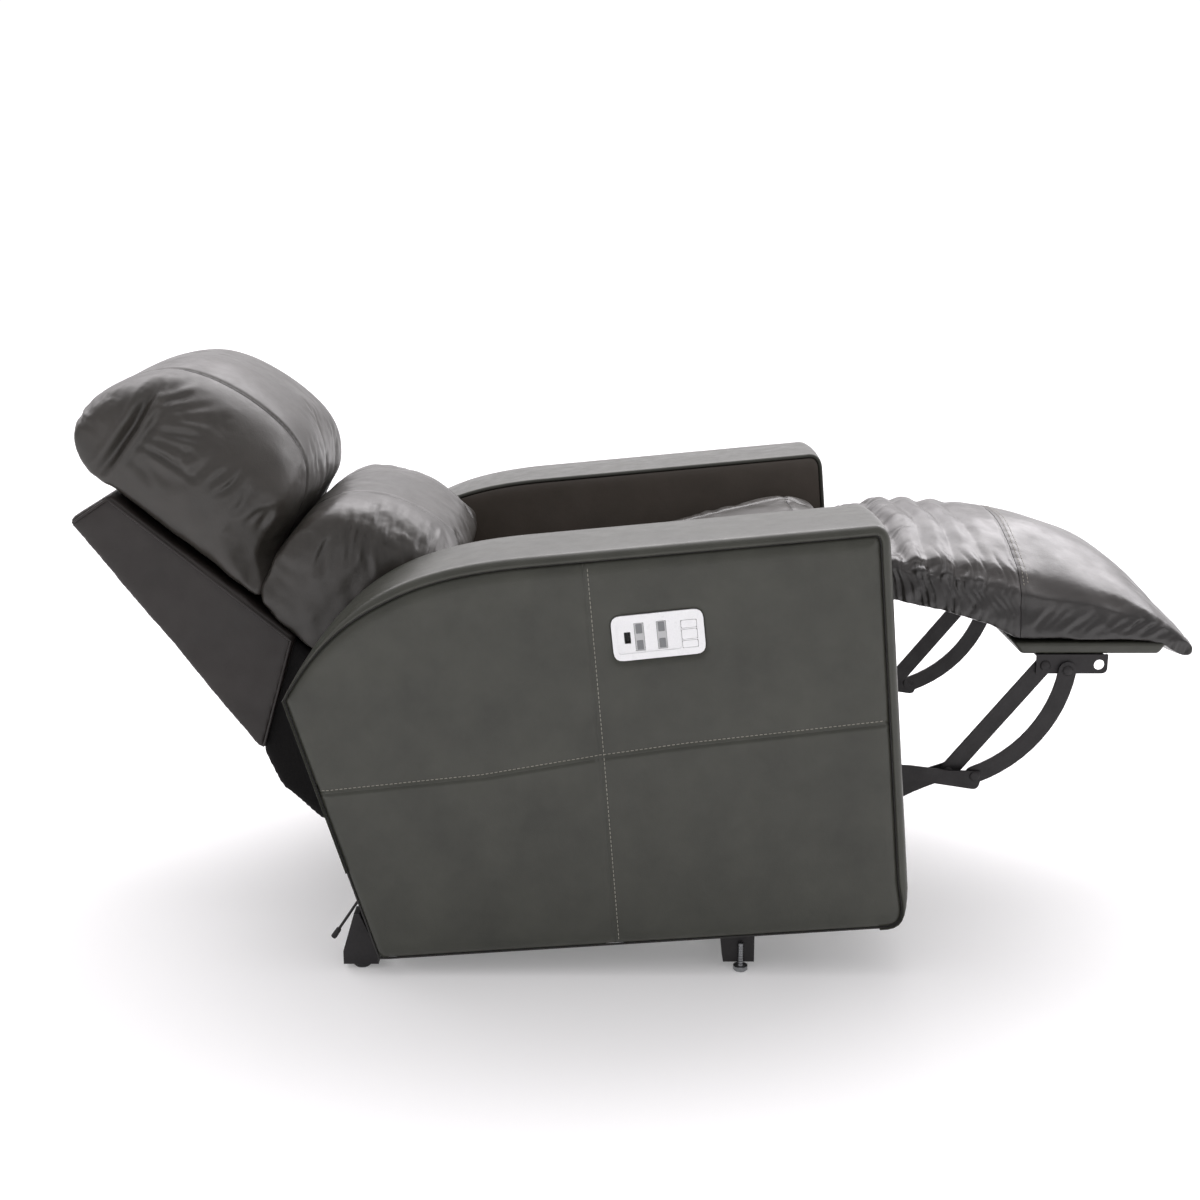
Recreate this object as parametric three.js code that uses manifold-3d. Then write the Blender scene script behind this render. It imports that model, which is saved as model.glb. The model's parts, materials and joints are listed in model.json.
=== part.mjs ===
// A power recliner armchair, fully reclined with its footrest open.
// Sizes are in millimetres. Side profiles are drawn with x forward and y up, and are
// extruded along z, towards the sitter's right. The last lines turn the whole chair so
// that it faces -Y with +Z up, and its origin is on the floor under its middle.
import * as THREE from 'three';
import { mergeVertices } from 'three/addons/utils/BufferGeometryUtils.js';
import Module from 'manifold-3d';

const wasm = await Module();
wasm.setup();

// ---------------------------------------------------------------- driving dimensions
const HALF_WIDTH = 450;
const HEAD_REAR = -822;
const FOOT_TIP = 925;
const GAP = 0.3;
const CURVE_STEPS = 6;

const ARM = {
  inner: 272, panelInner: 438, bottomRear: [-332, 26], bottomFront: [437, 75], topFront: [405, 687],
  arcTop: [-106, 639], arcRear: [-457, 429], cornerLow: 20, cornerTop: 26, bulge: 19,
};
const ARM_POCKET = { inner: 386, outer: 437.7, front: 345, top: 125, rearTop: 152 };

const FOOT = { rear: -361, front: 212, inner: 396, outer: 424, centre: 410 };
const RAIL = { bottom: 23 + GAP, top: 53, inner: 176, outer: 206, rear: -372, front: 238 };
const CROSS_RAIL = { bottom: 10, top: 23 };
const CARRIAGE = { inner: 210, outer: 214, rear: -300, front: 160, flange: 4 };

const SEAT_HALF = 265;
const SEAT_RAIL = { inner: 205, outer: 235 };
const SOFT_HALF = 262;

// Pivots, as [x, y] in the side profile.
const TILT_PIVOT = [-250, 120];
const RECLINE_PIVOT = [-190, 330];
const HEADREST_PIVOT = [-530, 560];
const TUBE_PIVOT = [340, 113];
const REAR_LINK_PIVOT = [350, 90];
const KNEE_PIVOT = [551, 253];
const REAR_KNEE_PIVOT = [590, 251];
const OTTOMAN_PIVOT = [693, 429];
const CURVED_TOP = [727, 422];
const LEVER_PIVOT = [-345, 134];

// Each flat bar of the footrest linkage works in a layer of its own.
const LAYER = {
  plate: [236, 240], lower: [242, 246], straight: [247, 251],
  bracket: [252, 256], curved: [257, 261], rear: [262, 266],
};
const BAR_HALF = 14;
const PIN_RADIUS = 5;
const TUBE_RADIUS = 10;
const RECLINE_PIN_RADIUS = 7;

const PANEL = { x: 83, y: 528, tilt: 6, width: 132, height: 66, corner: 14, back: 438.3, face: 449.8 };
const TRAY = { x: -13, width: 92, height: 46, corner: 5, depth: 1.5 };
const ROCKER = { xs: [-26.6, 5.4], width: 13, height: 40, back: 441.5, face: 448 };
const KEY = { x: 44.6, width: 22, rows: [[12.5, 11], [-2.5, 14], [-17, 10]], back: 441.5, face: 450 };
const USB = { x: -44, width: 8.4, height: 16, back: 439, face: 448.2 };
const KEY_GAP = 0.5;

const SIDES = [{ name: 'right', sign: 1 }, { name: 'left', sign: -1 }];

// ---------------------------------------------------------------- materials
const finish = (color, roughness, metalness = 0) => new THREE.MeshStandardMaterial({ color, roughness, metalness });
const LEATHER = finish(0x4e4f48, 0.45);
const DARK_LEATHER = finish(0x3c3835, 0.5);
const BLACK_STEEL = finish(0x302d2e, 0.45, 0.6);
const ZINC = finish(0x9a9c9d, 0.35, 0.9);
const BLACK_PLASTIC = finish(0x151515, 0.6);
const SILVER_PLASTIC = finish(0xcdcdcd, 0.35);
const GREY_PLASTIC = finish(0xb9babb, 0.4);
const WOOD = finish(0xb08a5c, 0.7);

// ---------------------------------------------------------------- helpers
const chair = new THREE.Group();

function add(name, geometry, material) {
  const mesh = new THREE.Mesh(geometry, material);
  mesh.name = name;
  chair.add(mesh);
}

// A closed outline from [x, y] corners; a third number rounds that corner.
function outline(corners) {
  const shape = new THREE.Shape();
  corners.forEach(([x, y, radius = 0], i) => {
    const corner = new THREE.Vector2(x, y);
    const before = new THREE.Vector2(...corners.at(i - 1).slice(0, 2));
    const after = new THREE.Vector2(...corners[(i + 1) % corners.length].slice(0, 2));
    const start = corner.clone().add(before.sub(corner).setLength(radius || 1e-9));
    const end = corner.clone().add(after.sub(corner).setLength(radius || 1e-9));
    if (i === 0) shape.moveTo(start.x, start.y);
    else shape.lineTo(start.x, start.y);
    if (radius) shape.quadraticCurveTo(x, y, end.x, end.y);
  });
  shape.closePath();
  return shape;
}

function prism(shape, low, high, steps = CURVE_STEPS) {
  const options = { depth: high - low, bevelEnabled: false, curveSegments: steps };
  return new THREE.ExtrudeGeometry(shape, options).translate(0, 0, low);
}

// The same prism on either side of the chair, between two distances from its middle.
function sidePrism(shape, inner, outer, sign, steps = CURVE_STEPS) {
  return sign > 0 ? prism(shape, inner, outer, steps) : prism(shape, -outer, -inner, steps);
}

function box(x0, x1, y0, y1, z0, z1) {
  return prism(outline([[x0, y0], [x1, y0], [x1, y1], [x0, y1]]), z0, z1);
}

function sideBox(x0, x1, y0, y1, inner, outer, sign) {
  return sign > 0 ? box(x0, x1, y0, y1, inner, outer) : box(x0, x1, y0, y1, -outer, -inner);
}

function rod([x, y], radius, low, high, sides = 20) {
  const geometry = new THREE.CylinderGeometry(radius, radius, high - low, sides);
  return geometry.rotateX(Math.PI / 2).translate(x, y, (low + high) / 2);
}

function sideRod(point, radius, inner, outer, sign, sides = 16) {
  return sign > 0 ? rod(point, radius, inner, outer, sides) : rod(point, radius, -outer, -inner, sides);
}

// A faceted hole whose flats clear a shaft of the given radius.
function circleHole([x, y], shaftRadius) {
  const radius = (shaftRadius + GAP) / Math.cos(Math.PI / (2 * CURVE_STEPS));
  return new THREE.Path().absarc(x, y, radius, 0, 2 * Math.PI, true);
}

function withHoles(shape, ...holes) {
  shape.holes.push(...holes);
  return shape;
}

// A flat bar with round ends around two pivots.
function barShape(from, to, half = BAR_HALF) {
  const angle = Math.atan2(to[1] - from[1], to[0] - from[0]);
  const shape = new THREE.Shape();
  shape.absarc(to[0], to[1], half, angle - Math.PI / 2, angle + Math.PI / 2);
  shape.absarc(from[0], from[1], half, angle + Math.PI / 2, angle + 1.5 * Math.PI);
  shape.closePath();
  return shape;
}

// A bar that bows to the right of the line from one pivot to the other, with round ends.
function bowedShape(from, to, sag, half = BAR_HALF) {
  const chord = new THREE.Vector2(to[0] - from[0], to[1] - from[1]);
  const radius = (chord.lengthSq() / 4 + sag * sag) / (2 * sag);
  const side = new THREE.Vector2(-chord.y, chord.x).normalize().multiplyScalar(radius - sag);
  const centre = new THREE.Vector2((from[0] + to[0]) / 2, (from[1] + to[1]) / 2).add(side);
  const start = Math.atan2(from[1] - centre.y, from[0] - centre.x);
  const end = Math.atan2(to[1] - centre.y, to[0] - centre.x);
  const shape = new THREE.Shape();
  shape.absarc(centre.x, centre.y, radius + half, start, end);
  shape.absarc(to[0], to[1], half, end, end + Math.PI);
  shape.absarc(centre.x, centre.y, radius - half, end, start, true);
  shape.absarc(from[0], from[1], half, start + Math.PI, start + 2 * Math.PI);
  return shape;
}

function solid(geometry) {
  const bare = geometry.clone();
  bare.deleteAttribute('normal');
  bare.deleteAttribute('uv');
  const merged = mergeVertices(bare.index ? bare.toNonIndexed() : bare, 1e-4);
  return new wasm.Manifold(new wasm.Mesh({
    numProp: 3,
    vertProperties: merged.attributes.position.array,
    triVerts: merged.index.array,
  }));
}

function geometryOf(manifold) {
  const { vertProperties, triVerts } = manifold.getMesh();
  const geometry = new THREE.BufferGeometry();
  geometry.setAttribute('position', new THREE.BufferAttribute(vertProperties, 3));
  geometry.setIndex(new THREE.BufferAttribute(triVerts, 1));
  return geometry;
}

const join = (first, ...others) => geometryOf(others.reduce((sum, g) => sum.add(solid(g)), solid(first)));
const cut = (first, ...others) => geometryOf(others.reduce((sum, g) => sum.subtract(solid(g)), solid(first)));

// ---------------------------------------------------------------- arms
// The arm's side profile: straight bottom, front and top, and a long arc down the back.
function armShape(inset) {
  const [rearX, rearY] = ARM.bottomRear;
  const [lowX, lowY] = ARM.bottomFront;
  const [topX, topY] = ARM.topFront;
  const { arcTop, arcRear, cornerLow, cornerTop, bulge } = ARM;
  const frontX = lowX + bulge - inset;
  const shape = new THREE.Shape();
  shape.moveTo(rearX + inset, rearY + inset);
  shape.lineTo(lowX - cornerLow, lowY + inset);
  shape.quadraticCurveTo(frontX, lowY + inset, frontX, lowY + 3 * cornerLow);
  shape.lineTo(topX - inset + 4, topY - cornerTop);
  shape.quadraticCurveTo(topX - inset, topY - inset, topX - cornerTop, topY - 3 - inset);
  shape.lineTo(arcTop[0], arcTop[1] - inset);
  shape.bezierCurveTo(-305 + inset / 2, 620 - inset, -380 + inset, 563 - inset, arcRear[0] + inset, arcRear[1]);
  shape.closePath();
  return shape;
}

function armPocket(sign) {
  const { inner, outer, front, top, rearTop } = ARM_POCKET;
  const corners = [[-520, -10], [front, -10], [front, top], [-260, top], [-290, rearTop], [-520, rearTop]];
  return sidePrism(outline(corners), inner, outer + 1, sign);
}

function addArm({ name, sign }) {
  const pinDepth = ARM.inner + 12;
  const body = cut(
    sidePrism(armShape(0), ARM.inner, ARM.panelInner - GAP, sign),
    armPocket(sign),
    sideRod(RECLINE_PIVOT, RECLINE_PIN_RADIUS + GAP, ARM.inner - 1, pinDepth, sign),
    sideRod(REAR_LINK_PIVOT, PIN_RADIUS + GAP, ARM.inner - 1, pinDepth, sign),
  );
  add(`arm_frame_${name}`, body, DARK_LEATHER);
  const panel = sidePrism(armShape(4), ARM.panelInner, HALF_WIDTH, sign);
  const hole = controlPrism(0, 0, PANEL.width + 2 * GAP, PANEL.height + 2 * GAP, PANEL.corner, 430, 460);
  add(`arm_side_panel_${name}`, sign > 0 ? cut(panel, hole) : panel, LEATHER);
}

// ---------------------------------------------------------------- control panel
// A rounded block in the control panel's own axes, placed on the right arm.
function controlPrism(x, y, width, height, corner, low, high) {
  const [w, h] = [width / 2, height / 2];
  const corners = [[-w, -h, corner], [w, -h, corner], [w, h, corner], [-w, h, corner]];
  const block = prism(outline(corners), low, high, 4).translate(x, y, 0);
  return block.rotateZ(THREE.MathUtils.degToRad(PANEL.tilt)).translate(PANEL.x, PANEL.y, 0);
}

function addControls() {
  const through = (x, y, width, height) =>
    controlPrism(x, y, width + 2 * KEY_GAP, height + 2 * KEY_GAP, 1, PANEL.back - 1, PANEL.face + 1);
  const openings = [
    controlPrism(TRAY.x, 0, TRAY.width, TRAY.height, TRAY.corner, PANEL.face - TRAY.depth, PANEL.face + 1),
    through(USB.x, 0, USB.width, USB.height),
    ...ROCKER.xs.map((x) => through(x, 0, ROCKER.width, ROCKER.height)),
    ...KEY.rows.map(([y, height]) => through(KEY.x, y, KEY.width, height)),
  ];
  const plate = controlPrism(0, 0, PANEL.width, PANEL.height, PANEL.corner, PANEL.back, PANEL.face);
  add('control_panel', cut(plate, ...openings), SILVER_PLASTIC);

  ROCKER.xs.forEach((x, i) => {
    const key = controlPrism(x, 0, ROCKER.width, ROCKER.height, 1.5, ROCKER.back, ROCKER.face);
    add(['rocker_key_recline', 'rocker_key_headrest'][i], key, GREY_PLASTIC);
  });
  KEY.rows.forEach(([y, height], i) => {
    const key = controlPrism(KEY.x, y, KEY.width, height, 2, KEY.back, KEY.face);
    add(`memory_key_${i + 1}`, key, SILVER_PLASTIC);
  });

  const wall = 1.2;
  const shell = controlPrism(USB.x, 0, USB.width, USB.height, 0, USB.back, USB.face);
  const mouth = controlPrism(USB.x, 0, USB.width - 2 * wall, USB.height - 2 * wall, 0, USB.back + 2, USB.face + 1);
  const tongue = controlPrism(USB.x, 0, 1.8, 11, 0, USB.back + 1, USB.face - 1);
  add('usb_socket', geometryOf(solid(shell).subtract(solid(mouth)).add(solid(tongue))), BLACK_PLASTIC);
}

// ---------------------------------------------------------------- base
function addLeveller(name, x, z, profile) {
  const points = profile.map(([r, y]) => new THREE.Vector2(r, y));
  add(name, new THREE.LatheGeometry(points, 16).translate(x, 0, z), name.includes('front') ? ZINC : BLACK_PLASTIC);
}

// A glide with a threaded stem above it.
function threadedLeveller(glideRadius, glideTop, stemRadius, stemTop, pitch) {
  const profile = [[0, 0], [glideRadius - 2, 0], [glideRadius, 2], [glideRadius, glideTop], [stemRadius, glideTop]];
  for (let y = glideTop + pitch; y < stemTop; y += pitch) {
    profile.push([stemRadius - 0.8, y - pitch / 2], [stemRadius, y]);
  }
  profile.push([0, stemTop]);
  return profile;
}

function addBase() {
  const { inner, outer, centre } = FOOT;
  const reach = inner - GAP;
  add('rear_cross_rail', box(-377, -347, CROSS_RAIL.bottom, CROSS_RAIL.top, -reach, reach), BLACK_STEEL);
  add('front_cross_rail', box(190, 225, CROSS_RAIL.bottom, CROSS_RAIL.top, -reach, reach), BLACK_STEEL);
  const rearFoot = [[-388, 7.3], [-335, 7.3], [-338, 30], [-362, 89], [-370, 89], [-388, 28]];
  const frontFoot = [[186, 11], [233, 11], [233, 70], [180, 70]];
  const glide = [[0, 0], [11, 0], [14, 3], [14, 7], [0, 7]];
  for (const { name, sign } of SIDES) {
    add(`base_rail_${name}`,
      sideBox(RAIL.rear, RAIL.front, RAIL.bottom, RAIL.top, RAIL.inner, RAIL.outer, sign), BLACK_STEEL);
    add(`rear_foot_bracket_${name}`, sidePrism(outline(rearFoot), inner, outer, sign), BLACK_STEEL);
    add(`front_foot_bracket_${name}`, sidePrism(outline(frontFoot), inner, outer, sign), BLACK_STEEL);
    addLeveller(`rear_glide_${name}`, FOOT.rear, sign * centre, glide);
    const stemRadius = 4;
    addLeveller(`front_leveller_${name}`, FOOT.front, sign * (outer + GAP + stemRadius),
      threadedLeveller(11, 8, stemRadius, 45, 4));
  }
}

// ---------------------------------------------------------------- carriage
function addCarriage() {
  const floor = RAIL.top + GAP;
  const { rear, front, inner, outer, flange } = CARRIAGE;
  const web = [[rear, floor], [front, floor], [front, 100], [120, 120], [-220, 150], [rear, 150, 20]];
  for (const { name, sign } of SIDES) {
    const plate = sidePrism(
      withHoles(outline(web), circleHole(TILT_PIVOT, TUBE_RADIUS)), inner, outer, sign);
    const foot = sideBox(rear, front, floor, floor + flange, RAIL.inner, inner + 1, sign);
    add(`carriage_plate_${name}`, join(plate, foot), BLACK_STEEL);
  }
  add('carriage_tube', rod([-120, 80], TUBE_RADIUS, -inner + GAP, inner - GAP, 16), BLACK_STEEL);
  const reach = ARM.inner - GAP;
  add('tilt_pivot_tube', rod(TILT_PIVOT, TUBE_RADIUS, -reach, reach, 16), BLACK_STEEL);
}

// ---------------------------------------------------------------- seat
class SpringCurve extends THREE.Curve {
  constructor(from, to, z, swing, waves) {
    super();
    Object.assign(this, { from, to, z, swing, waves });
  }

  getPoint(t) {
    const x = THREE.MathUtils.lerp(this.from[0], this.to[0], t);
    const y = THREE.MathUtils.lerp(this.from[1], this.to[1], t);
    return new THREE.Vector3(x, y, this.z + this.swing * Math.sin(2 * Math.PI * this.waves * t));
  }
}

function springWire(z) {
  const radius = 2.2;
  const section = new THREE.Shape().absarc(0, 0, radius, 0, 2 * Math.PI);
  const path = new SpringCurve([-177, 340], [307, 418], z, 24, 6);
  return new THREE.ExtrudeGeometry(section, { steps: 48, bevelEnabled: false, extrudePath: path, curveSegments: 6 });
}

function addSeat() {
  const { inner, outer } = SEAT_RAIL;
  const sideRail = [[-215, 300], [345, 388], [345, 438], [-215, 350]];
  const frontRail = [[310, 386], [345, 391], [345, 437], [310, 431]];
  const rearRail = [[-215, 301], [-180, 306], [-180, 354], [-215, 348]];
  for (const { name, sign } of SIDES) {
    add(`seat_side_rail_${name}`, sidePrism(outline(sideRail), inner, outer, sign), WOOD);
    const plate = [[316, 100], [345, 86], [357, 96], [360, 125], [345, 300], [345, 430], [250, 415], [250, 374],
      [310, 300]];
    const shape = withHoles(outline(plate), circleHole(TUBE_PIVOT, TUBE_RADIUS));
    add(`link_pivot_plate_${name}`, sidePrism(shape, ...LAYER.plate, sign), BLACK_STEEL);
  }
  add('seat_front_rail', prism(outline(frontRail), -inner + GAP, inner - GAP), WOOD);
  add('seat_rear_rail', prism(outline(rearRail), -inner + GAP, inner - GAP), WOOD);
  add('seat_spring_right', springWire(85), ZINC);
  add('seat_spring_left', springWire(-85), ZINC);
  const cushion = [[-150, 380, 20], [400, 470, 12], [408, 560], [402, 624, 14], [360, 630], [200, 598], [0, 556],
    [-150, 520, 24]];
  add('seat_cushion', prism(outline(cushion), -SEAT_HALF, SEAT_HALF), LEATHER);
}

// ---------------------------------------------------------------- drive
function addDrive() {
  const gearbox = box(-135, -62, 118, 182, -24, 24);
  const motor = rod([-98, 150], 28, 20, 130);
  const clevis = box(TILT_PIVOT[0] + TUBE_RADIUS + GAP, -130, 134, 158, -10, 10);
  add('drive_motor', join(gearbox, motor, clevis), BLACK_PLASTIC);
  add('drive_rail', box(-62 + GAP, 300, 140, 160, -16, 16), ZINC);
  const nut = box(205, 250, 132, 168, -25, 25);
  add('drive_nut', cut(nut, box(200, 260, 140 - GAP, 160 + GAP, -16 - GAP, 16 + GAP)), BLACK_PLASTIC);
}

function addReleaseLever() {
  const length = 106;
  const points = [[0, 0], [4, 0], [4.5, 2], [4, 16], [2.2, 18], [2.2, length], [0, length]];
  const lever = new THREE.LatheGeometry(points.map(([r, y]) => new THREE.Vector2(r, y)), 12);
  const lean = Math.atan2(59, 88);
  lever.translate(0, -length, 0).rotateZ(-lean).translate(LEVER_PIVOT[0], LEVER_PIVOT[1], 412);
  add('back_release_lever', lever, BLACK_STEEL);
}

// ---------------------------------------------------------------- back and headrest
function addBack() {
  const shell = [[-810, 659, 8], [-745, 701, 8], [-471, 476], [-290, 330, 10], [-300, 230, 20], [-380, 158, 30],
    [-440, 178, 20], [-504, 233, 20], [-531, 286]];
  add('back_shell', prism(outline(shell), -SOFT_HALF, SOFT_HALF), DARK_LEATHER);

  const plate = [[-171, 330, 8], [-178, 352, 8], [-300, 455], [-400, 515, 10], [-430, 470, 10], [-330, 372],
    [-290, 312], [-205, 309, 8], [-180, 312, 6]];
  for (const { name, sign } of SIDES) {
    const bracket = sidePrism(outline(plate), SOFT_HALF + GAP, LAYER.rear[1] + GAP, sign);
    const pin = sideRod(RECLINE_PIVOT, RECLINE_PIN_RADIUS, SOFT_HALF + 2, ARM.inner + 11, sign);
    add(`back_bracket_${name}`, join(bracket, pin), BLACK_STEEL);
  }

  const cushion = [[-289, 338, 6], [-236, 396, 20], [-274, 508, 30], [-214, 588, 20], [-193, 612, 14], [-203, 634],
    [-223, 650], [-260, 680], [-305, 702], [-352, 714], [-398, 711, 12], [-438, 690, 12], [-508, 590, 6],
    [-505, 515, 8]];
  add('back_cushion', prism(outline(cushion), -SOFT_HALF, SOFT_HALF), LEATHER);
  add('headrest_hinge_tube', rod(HEADREST_PIVOT, 6, -230, 230, 12), BLACK_STEEL);

  const pillow = [[-516, 602, 8], [-420, 732], [-418, 765], [-442, 800], [-478, 840], [-521, 871], [-565, 892],
    [-607, 902], [-650, 899], [-697, 880], [-742, 856], [-788, 832], [-817, 808], [HEAD_REAR, 786], [-812, 764, 6],
    [-775, 746, 10], [-690, 762, 30], [-545, 585, 8]];
  add('head_pillow', prism(outline(pillow), -SOFT_HALF, SOFT_HALF), LEATHER);
}

// ---------------------------------------------------------------- footrest
// The link that runs level to the rear knee, then bends down to its own pivot.
function rearLinkShape() {
  const [x, y] = REAR_LINK_PIVOT;
  const [kneeX, kneeY] = REAR_KNEE_PIVOT;
  const corners = [[x - 12, y - 8, 10], [x + 10, y - 12, 10], [x + 107, y + 160, 20], [kneeX + 6, kneeY - 23, 10],
    [kneeX + 13, kneeY + 8, 10], [kneeX - 40, kneeY + 9], [x + 96, y + 184, 44]];
  return outline(corners);
}

function addLinkage({ name, sign }) {
  const pin = (point, inner, outer) => sideRod(point, PIN_RADIUS, inner, outer, sign);
  const { lower, straight, bracket, curved, rear } = LAYER;

  const lowerBar = sidePrism(bowedShape(KNEE_PIVOT, TUBE_PIVOT, 18), ...lower, sign);
  add(`lower_link_${name}`, join(lowerBar, pin(KNEE_PIVOT, lower[0] + 1, straight[1] + GAP)), BLACK_STEEL);

  const straightShape = withHoles(barShape(KNEE_PIVOT, OTTOMAN_PIVOT), circleHole(KNEE_PIVOT, PIN_RADIUS));
  const straightBar = sidePrism(straightShape, ...straight, sign);
  add(`straight_link_${name}`,
    join(straightBar, pin(OTTOMAN_PIVOT, straight[0] + 1, bracket[1] + GAP)), BLACK_STEEL);

  const bowed = withHoles(bowedShape(REAR_KNEE_PIVOT, CURVED_TOP, 30), circleHole(REAR_KNEE_PIVOT, PIN_RADIUS));
  add(`curved_link_${name}`, sidePrism(bowed, ...curved, sign), BLACK_STEEL);

  const rearBar = sidePrism(rearLinkShape(), ...rear, sign);
  add(`rear_link_${name}`, join(
    rearBar, pin(REAR_KNEE_PIVOT, curved[0] - GAP, rear[0] + 1), pin(REAR_LINK_PIVOT, rear[1] - 1, ARM.inner + 11),
  ), BLACK_STEEL);

  const bar = withHoles(
    outline([[679, 416], [790, 416, 10], [790, 446.7], [679, 446.7]]),
    circleHole(OTTOMAN_PIVOT, PIN_RADIUS), circleHole([777, 430], 8),
  );
  const web = sidePrism(bar, ...bracket, sign);
  const flange = sideBox(679, 784, 443.7, 446.7, 224, bracket[0] + 1, sign);
  add(`ottoman_bracket_${name}`, join(web, flange), BLACK_STEEL);
}

function addFootrest() {
  const reach = LAYER.lower[0] - GAP;
  add('torque_tube', rod(TUBE_PIVOT, TUBE_RADIUS, -reach, reach), BLACK_STEEL);
  SIDES.forEach(addLinkage);
  const board = [[641, 466], [655, 447, 6], [868, 447, 6], [884, 466]];
  const boardReach = LAYER.curved[0] - 1;
  add('footrest_board', prism(outline(board), -boardReach, boardReach), LEATHER);
  const pad = [[648, 466.3], [648, 634], [700, 624], [751, 607], [792, 588], [833, 565], [875, 532], [907, 496],
    [921, 466], [FOOT_TIP, 454], [914, 440, 6], [900, 435], [888, 442], [889, 466.3]];
  add('footrest_pad', prism(outline(pad), -SOFT_HALF, SOFT_HALF), LEATHER);
  const apron = [[409, 535], [451, 526], [496, 516], [549, 507], [602, 490], [625, 476], [640, 470], [647, 470],
    [647, 635], [600, 643], [536, 648], [485, 650], [446, 645], [409, 622]];
  add('leg_apron', prism(outline(apron), -SOFT_HALF, SOFT_HALF), LEATHER);
}

// ---------------------------------------------------------------- the whole chair
addBase();
addCarriage();
SIDES.forEach(addArm);
addControls();
addSeat();
addDrive();
addReleaseLever();
addBack();
addFootrest();

const facing = new THREE.Matrix4().makeBasis(
  new THREE.Vector3(0, -1, 0), new THREE.Vector3(0, 0, 1), new THREE.Vector3(-1, 0, 0));
chair.quaternion.setFromRotationMatrix(facing);
chair.position.set(0, (HEAD_REAR + FOOT_TIP) / 2, 0);

export default chair;
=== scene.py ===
"""Looks of a leather power recliner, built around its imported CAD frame.

Profiles are in millimetres in the chair's side view (x forward, y up) and z towards the sitter's
right. to_row() turns such points into metres in the frame's axes.
"""
import json
import math

import bmesh
import bpy
import numpy as np
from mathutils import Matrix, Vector
from mathutils.bvhtree import BVHTree
from mathutils.geometry import delaunay_2d_cdt


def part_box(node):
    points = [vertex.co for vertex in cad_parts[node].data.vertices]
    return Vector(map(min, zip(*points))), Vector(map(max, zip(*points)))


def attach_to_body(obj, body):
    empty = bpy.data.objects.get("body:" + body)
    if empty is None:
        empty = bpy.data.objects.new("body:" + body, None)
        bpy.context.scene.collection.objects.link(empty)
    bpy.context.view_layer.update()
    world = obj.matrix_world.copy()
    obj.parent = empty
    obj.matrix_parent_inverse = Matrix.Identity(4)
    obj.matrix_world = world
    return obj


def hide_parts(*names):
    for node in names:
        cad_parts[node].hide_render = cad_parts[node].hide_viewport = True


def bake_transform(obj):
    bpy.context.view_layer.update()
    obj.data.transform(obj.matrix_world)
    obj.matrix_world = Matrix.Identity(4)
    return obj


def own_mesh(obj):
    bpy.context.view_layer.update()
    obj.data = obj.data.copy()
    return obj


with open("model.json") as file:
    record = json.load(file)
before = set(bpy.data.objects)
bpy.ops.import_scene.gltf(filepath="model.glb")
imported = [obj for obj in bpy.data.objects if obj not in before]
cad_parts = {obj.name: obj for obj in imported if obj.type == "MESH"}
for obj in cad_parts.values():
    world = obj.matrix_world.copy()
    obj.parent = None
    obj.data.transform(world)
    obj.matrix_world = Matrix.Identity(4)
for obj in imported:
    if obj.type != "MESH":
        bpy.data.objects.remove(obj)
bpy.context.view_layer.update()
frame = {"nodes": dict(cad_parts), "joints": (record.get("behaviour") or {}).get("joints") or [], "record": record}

MM = 0.001

# ------------------------------------------------------------------ places, from the frame
HEAD_REAR = -822
ORIGIN_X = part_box("head_pillow")[1].y / MM + HEAD_REAR
ARM_INNER = -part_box("arm_frame_right")[1].x / MM
ARM_FRAME_OUTER = -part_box("arm_frame_right")[0].x / MM
ARM_OUTER = -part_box("arm_side_panel_right")[0].x / MM
SOFT_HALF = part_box("head_pillow")[1].x / MM
BOARD_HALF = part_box("footrest_board")[1].x / MM
SIDES = (("right", 1), ("left", -1))


def to_row(points):
    """Side-view points in millimetres, in the frame's axes and metres."""
    p = np.asarray(points, float).reshape(-1, 3)
    return np.column_stack([-p[:, 2], ORIGIN_X - p[:, 0], p[:, 1]]) * MM


def to_side(points):
    """Frame points in metres, in the side view and millimetres."""
    p = np.asarray(points, float).reshape(-1, 3) / MM
    return np.column_stack([ORIGIN_X - p[:, 1], p[:, 2], -p[:, 0]])


def facing_of(normals):
    """Normals in the frame's axes, in the side view's."""
    return np.column_stack([-normals[:, 1], normals[:, 2], -normals[:, 0]])


# ------------------------------------------------------------------ materials
class Graph:
    """A node tree, with short ways to add nodes and link them."""

    def __init__(self, tree):
        self.tree = tree

    def add(self, kind, links=None, **values):
        """A new node. values are for its inputs or settings, links lead outputs to its inputs."""
        node = self.tree.nodes.new("ShaderNode" + kind)
        for name, value in values.items():
            if name in node.inputs:
                node.inputs[name].default_value = value
            else:
                setattr(node, name, value)
        for name, output in (links or {}).items():
            self.tree.links.new(output, node.inputs[name])
        return node

    def remap(self, value, low, high, to_low, to_high, curve="LINEAR"):
        ends = {"From Min": low, "From Max": high, "To Min": to_low, "To Max": to_high}
        return self.add("MapRange", {"Value": value}, interpolation_type=curve, **ends).outputs["Result"]

    def maths(self, operation, *values):
        return self.add("Math", dict(enumerate(values)), operation=operation).outputs[0]


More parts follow.
